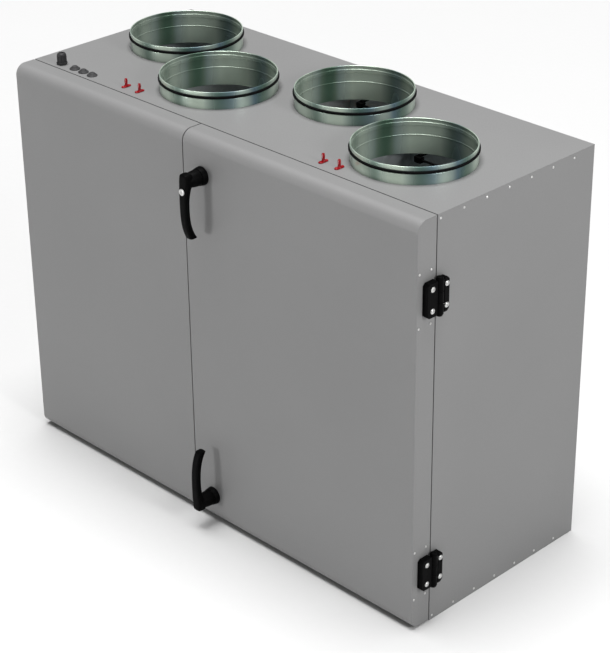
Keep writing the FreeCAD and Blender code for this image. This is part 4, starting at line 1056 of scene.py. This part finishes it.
def fan_nozzle(at):
    """A bellmouth with a rolled lip at its throat, and eight rivets in its flange."""
    angles = [math.radians(90 * k / 14) for k in range(1, 15)]
    profile = [(125, 0), (125, 1.6), (124.4, 2), (109, 2)]
    profile += [(108 - 29 * math.sin(a), 25 - 23 * math.cos(a)) for a in angles]
    profile += [(77.9, 30), (77.6, 35.6), (77, 36.1), (76.3, 35.8), (76.1, 30)]
    profile += [(107.6 - 30.4 * math.sin(a), 25 - 24.8 * math.cos(a)) for a in angles[::-1]]
    profile += [(108.5, 0)]
    rivets = [rivet_head(at @ turn(45 * k + 22.5, "Z") @ moved(0.1175, 0, 0.0019), 3.6 * MM, 1.5 * MM)
              for k in range(8)]
    return [turned(profile, 128, at)] + rivets


def impeller(side, at):
    """Back plate with hub, boss and shaft, shroud, seven blades and the six screws in the hub."""
    plate = [(0, 68), (30, 68), (35, 69), (39, 72), (49, 91), (53, 94.6), (60, 96), (139.2, 96),
             (140, 96.6), (140, 98), (139.2, 98.5), (61, 98.5), (14, 98.5), (12, 100), (8, 101), (8, 140.4),
             (7.4, 141), (0, 141)]
    shroud = [(82, -9.4), (82.6, -10), (84, -10), (84.5, -9.4), (84.9, -3), (87, 2.2), (92, 6), (102, 9.6),
              (118, 13), (139.4, 16.2), (140, 16.8), (140, 18.4), (139.4, 18.9), (118, 15.4), (101, 12.2),
              (90.5, 8.6), (85, 4.6), (82.8, -1.6)]
    parts = [turned(plate, 96), turned(shroud, 128)]
    blade = softened(fan_blade(), 0.3 * MM, 2, 60)
    parts += copies(blade, [turn(360 * k / 7, "Z") for k in range(7)])
    screw = screw_head(4 * MM, 3 * MM, moved(0.024, 0, 0.068, turn(180, "X")))
    parts += copies(screw, [turn(60 * k, "Z") for k in range(6)])
    whole = placed(joined(parts), at @ moved(0, 0, WHEEL_OUT))
    stand_in(side + "_fan_impeller", whole, side + "_fan_wheel")


def motor_support(at):
    """Finned motor, its plate with four windows, and four struts with nuts that hold it to the wall."""
    stator = [(8.1, 142), (40, 142), (44.5, 143), (46, 145)]
    for k in range(7):
        z = 149 + 6 * k
        stator += [(46, z), (43, z + 0.6), (43, z + 2.6), (46, z + 3.2)]
    stator += [(46, 194), (45, 196), (8.1, 196)]
    bottom, top = 0.196, 0.199
    cut_low, cut_high = 0.19, 0.21
    bore = rod(0.03, (0, 0, cut_low), (0, 0, cut_high))
    plate = carved(block((-0.162, -0.162, bottom), (0.162, 0.162, top)), bore)
    windows = []
    for a, b in ((-1, 0), (1, 0), (0, -1), (0, 1)):
        x, y, half_x, half_y = a * 0.098, b * 0.098, (0.028 if a else 0.06), (0.028 if b else 0.06)
        windows.append(block((x - half_x, y - half_y, cut_low), (x + half_x, y + half_y, cut_high)))
    parts = [turned(stator, 72, at), placed(softened(carved(plate, *windows), 0.5 * MM, 2), at)]
    strut = [(0, 0), (8, 0), (8, 3), (5.5, 3.6), (5.5, 190), (7.5, 190.5), (7.5, 195.8), (0, 196)]
    for a, b in CORNERS:
        corner = at @ moved(0.15 * a, 0.15 * b, 0)
        parts += [turned(strut, 32, corner), hex_head(6.5 * MM, 0.1988, 0.2035, 0.5 * MM, corner)]
    return parts


def fans():
    walls, nozzles, motors = [], [], []
    for side in ("exhaust", "supply"):
        at = fan_axis(side)[2]
        walls += fan_wall(side)
        nozzles += fan_nozzle(at)
        impeller(side, at)
        motors += motor_support(at)
    stand_in("fan_wall_sheets", joined(walls), "fan_walls")
    stand_in("fan_bellmouths", joined(nozzles), "fan_nozzles", angle=50)
    stand_in("fan_motor_supports", joined(motors), "fan_motors")


def tray():
    """A pan with soft corners and a ribbed spout that leaves through the rear panel."""
    lo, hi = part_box("condensate_tray")
    top, back, wall = 0.096, 0.2255, 1.5 * MM
    outer = rounded_block(lo, (hi.x, back, top), 4 * MM, 4)
    hollow = rounded_block((lo.x + wall, lo.y + wall, lo.z + 2 * MM),
                           (hi.x - wall, back - wall, top + 2 * PAST), 4 * MM, 4)
    hole = rod(13.7 * MM, (DRAIN_X, back - PAST, DRAIN_Z), (DRAIN_X, back + PAST, DRAIN_Z))
    tube = [(13.5, 0), (15.4, 0), (15.4, 63), (16, 63.4), (16, 66), (16.6, 67.4), (16, 72), (16.6, 73.4),
            (16, 78), (15.8, 86.6), (15.2, 87.3), (14.2, 87.3), (13.5, 86.8)]
    spout = turned(tube, 64, moved(DRAIN_X, back - 0.5 * MM, DRAIN_Z, TO_BACK))
    pan = carved(carved(outer, hollow), hole)
    stand_in("condensate_pan_with_spout", joined([pan, spout]), "condensate_tray")


def controls():
    """An open-fronted case, and its cover with a raised field, nine louvres and six screws."""
    lo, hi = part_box("control_box")
    wall = 1.5 * MM
    hollow = block(lo + Vector((wall, -PAST, wall)), hi - Vector((wall, wall, wall)))
    stand_in("control_box_case", carved(rounded_block(lo, hi, 3 * MM), hollow), "control_box")
    lo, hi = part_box("control_box_cover")
    border, edge = 12 * MM, 6.5 * MM
    cover = [rounded_block(lo, hi, 0.7 * MM, 2),
             rounded_block((lo.x + border, lo.y - 2.2 * MM, lo.z + border),
                           (hi.x - border, lo.y + 0.6 * MM, hi.z - border), 2 * MM)]
    screw = screw_head(4.2 * MM, 2 * MM)
    cover += copies(screw, [moved(x, lo.y, z, TO_FRONT) for x in (lo.x + edge, hi.x - edge)
                            for z in levels(lo, hi, 0.03)])
    side, pitch, slat = 60 * MM, 9 * MM, 3.5 * MM
    for k in range(9):
        z = lo.z + 50 * MM + pitch * k
        cover.append(rounded_block((lo.x + side, lo.y - 4.2 * MM, z),
                                   (hi.x - side, lo.y - 1.8 * MM, z + slat), 1 * MM, 2))
    stand_in("control_box_front_cover", joined(cover), "control_box_cover")


def actuator():
    centre = middle("bypass_actuator")
    case = rounded_block((-0.034, -0.04, -0.0275), (0.034, 0.04, 0.0275), 6 * MM, 4)
    lid = rounded_block((-0.029, -0.035, 0.0265), (0.029, 0.035, 0.0285), 1 * MM, 2)
    knob = turned([(0, 28), (9, 28), (9, 28.8), (8.2, 29.5), (0, 29.5)], 40)
    whole = placed(joined([case, lid, knob]), moved(centre.x, centre.y, centre.z, turn(45, "Y")))
    stand_in("bypass_actuator_case", whole, "bypass_actuator")


def bypass_flap():
    """The flap blade with hemmed edges and stiffening ribs, two clamps and its shaft."""
    lo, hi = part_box("bypass_blade")
    core, mid = middle("exchanger_core"), (lo.y + hi.y) / 2
    half, reach, thick = (hi.y - lo.y) / 2, 0.205, 0.9 * MM
    parts = [rounded_block((-thick, -half + 1 * MM, -reach), (thick, half - 1 * MM, reach), 0.4 * MM, 2)]
    rib, rib_y, clamp_z = 2 * MM, 25 * MM, 0.14
    for end in (-1, 1):
        hem = end * (half - 2 * MM)
        parts.append(rod(2 * MM, (0, hem, -reach), (0, hem, reach), 20))
        low_z, high_z = sorted((end * 0.066, end * 0.126))
        for y in (-rib_y, rib_y):
            parts.append(rounded_block((-rib, y - rib, low_z), (rib, y + rib, high_z), 0.9 * MM, 2))
        z = end * clamp_z
        parts.append(rounded_block((-0.0062, -0.011, z - 0.012), (0.0062, 0.011, z + 0.012), 1.5 * MM))
    start = (lo.x - core.x) * math.sqrt(2) + 5 * MM
    finish = (hi.x - core.x) * math.sqrt(2) - 5 * MM
    parts.append(rod(5 * MM, (0, 0, start), (0, 0, finish), 36))
    whole = placed(joined(parts), moved(core.x, mid, core.z, turn(45, "Y")))
    stand_in("bypass_flap_blade", whole, "bypass_blade")


def cams():
    """Latch cams behind the right door: a rounded plate with a stepped nose, a washer and a hexagon bolt."""
    x = spindle().x
    washer = [(0, 0), (9.2, 0), (9.2, 0.8), (8.8, 1.2), (0, 1.2)]
    for node, z in zip(("lower_latch_cam", "upper_latch_cam"), lever_heights()):
        lo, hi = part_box(node)
        nose = lo.x - x
        half = [(nose, 4 * MM), (nose + 0.8 * MM, 6.5 * MM), (nose + 3 * MM, 8.5 * MM), (-12 * MM, 10 * MM)]
        outline = arc(0, 0, 13 * MM, -125, 125, 24) + half[::-1] + [(across, -up) for across, up in half]
        plate = softened(upright(outline, hi.y, lo.y), 0.8 * MM, 3)
        back = moved(0, hi.y, 0, TO_BACK)
        bolt = hex_head(6.2 * MM, 1 * MM, 4.8 * MM, 0.6 * MM, back)
        whole = joined([plate, turned(washer, 48, back), bolt])
        stand_in(node + "_plate", placed(whole, moved(x, 0, z)), node)


def sensors():
    """Probes just below the two right-hand spigots, each with a clip, a bracket and a sleeve."""
    sleeve = [(0, 0), (3.4, 0), (3.4, 14), (2.9, 15), (2.9, 50), (2.6, 54), (1.6, 57.2), (0, 58)]
    level = high("duct_sensors").z
    parts = []
    for node in SPIGOTS[2:]:
        x, y = middle(node).x - 0.089, middle(node).y + 0.1165
        clip = rounded_block((x - 0.011, y - 0.008, level - 0.020),
                             (x + 0.011, y + 0.008, level - 0.004), 2 * MM)
        bracket = rounded_block((x - 0.005, y, level - 0.006), (x + 0.005, y + 0.030, level), 1.2 * MM, 2)
        parts += [clip, bracket, turned(sleeve, 32, moved(x + 0.009, y, level - 0.012, TO_RIGHT))]
    stand_in("duct_temperature_probes", joined(parts), "duct_sensors")


def inserts():
    """Threaded inserts for the feet, with a groove for each turn of the thread."""
    profile = [(4.1, 0.6), (4.7, 0), (6.2, 0), (6.4, 0.3), (6.4, 24.6), (6, 25), (0, 25), (0, 22), (4.1, 22)]
    for k in range(13):
        z = 20.5 - 1.45 * k
        profile += [(4.1, z), (4.45, z - 0.7)]
    parts = [turned(profile, 40, moved(x, y, 0)) for x, y in foot_places()]
    stand_in("foot_thread_inserts", joined(parts), "foot_inserts")


def sheet_screws():
    """Self-tapping screws along the dividers beside the exchanger and down the supply riser."""
    shelf = middle("exchanger_core").z + 0.5 * SHEET
    lo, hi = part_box("riser_ducts")
    places = [moved(start + 0.08 * k, FRONT + 0.028, shelf) for start, count in ((-0.66, 4), (0.30, 5))
              for k in range(count)]
    places += [moved(x, lo.y, z, TO_FRONT) for z in levels(lo, hi, 0.04) for x in (0.36, 0.66)]
    screw = screw_head(3.8 * MM, 1.9 * MM)
    piece("divider_screws", joined(copies(screw, places)), "casing", "bright_steel")


# ---------------------------------------------------------------- studio

def area_light(name, place, size, power):
    """A square lamp that faces the middle of the cabinet."""
    data = bpy.data.lights.new(name, "AREA")
    data.shape = "RECTANGLE"
    data.size = data.size_y = size
    data.energy = power
    lamp = linked(name, data)
    lamp.location = place
    lamp.rotation_euler = (Vector((0, 0, 0.6)) - Vector(place)).to_track_quat("-Z", "Y").to_euler()


def studio():
    """A pale floor, an even sky, soft light from above, a level key and a fill from the right."""
    scene = bpy.context.scene
    reach = 30
    slab = block((-reach, -reach, -0.02), (reach, reach, 0))
    slab.materials.append(studio_floor("studio_floor"))
    floor = linked("studio_floor", slab)
    world = bpy.data.worlds.new("studio")
    scene.world = world
    world.use_nodes = True
    sky = world.node_tree.nodes["Background"]
    sky.inputs["Color"].default_value = (1, 1, 1, 1)
    sky.inputs["Strength"].default_value = 0.17
    area_light("key", (-2.9, -9.0, 0.6), 1.5, 308)
    area_light("side_fill", (5.0, -0.5, 3.0), 1.4, 150)
    overhead = bpy.data.lights.new("overhead", "SUN")
    overhead.energy = 5.1
    overhead.angle = math.radians(40)
    lamp = linked("overhead", overhead)
    lamp.rotation_euler = (0, math.radians(-3), 0)
    scene.view_settings.view_transform = "Standard"


def camera():
    """The view from above the front right corner."""
    data = bpy.data.cameras.new("camera")
    data.sensor_width = 36
    data.lens = 110.26
    data.clip_end = 100
    eye = linked("camera", data)
    eye.location = (3.4812, -3.4055, 3.0229)
    azimuth, elevation, roll = math.radians(45.54), math.radians(27.73), math.radians(-0.69)
    level = math.cos(elevation)
    forward = Vector((-math.sin(azimuth) * level, math.cos(azimuth) * level, -math.sin(elevation)))
    aim = forward.to_track_quat("-Z", "Y") @ Matrix.Rotation(roll, 3, "Z").to_quaternion()
    eye.rotation_euler = aim.to_euler()
    bpy.context.scene.camera = eye


# ---------------------------------------------------------------- build

random.seed(7)
dress_frame()
cabinet()
for leaf_side in ("left", "right"):
    rolled_door(leaf_side)
    door_inside(leaf_side)
for spigot_node, spigot_x, spigot_y in spigot_places():
    spigot(spigot_node, spigot_x, spigot_y)
gaskets()
gland()
grommets()
nipples()
fasteners()
hinges()
handles()
mullion()
plate_pack()
end_frames()
filters()
fans()
tray()
controls()
actuator()
bypass_flap()
cams()
sensors()
inserts()
sheet_screws()
studio()
camera()
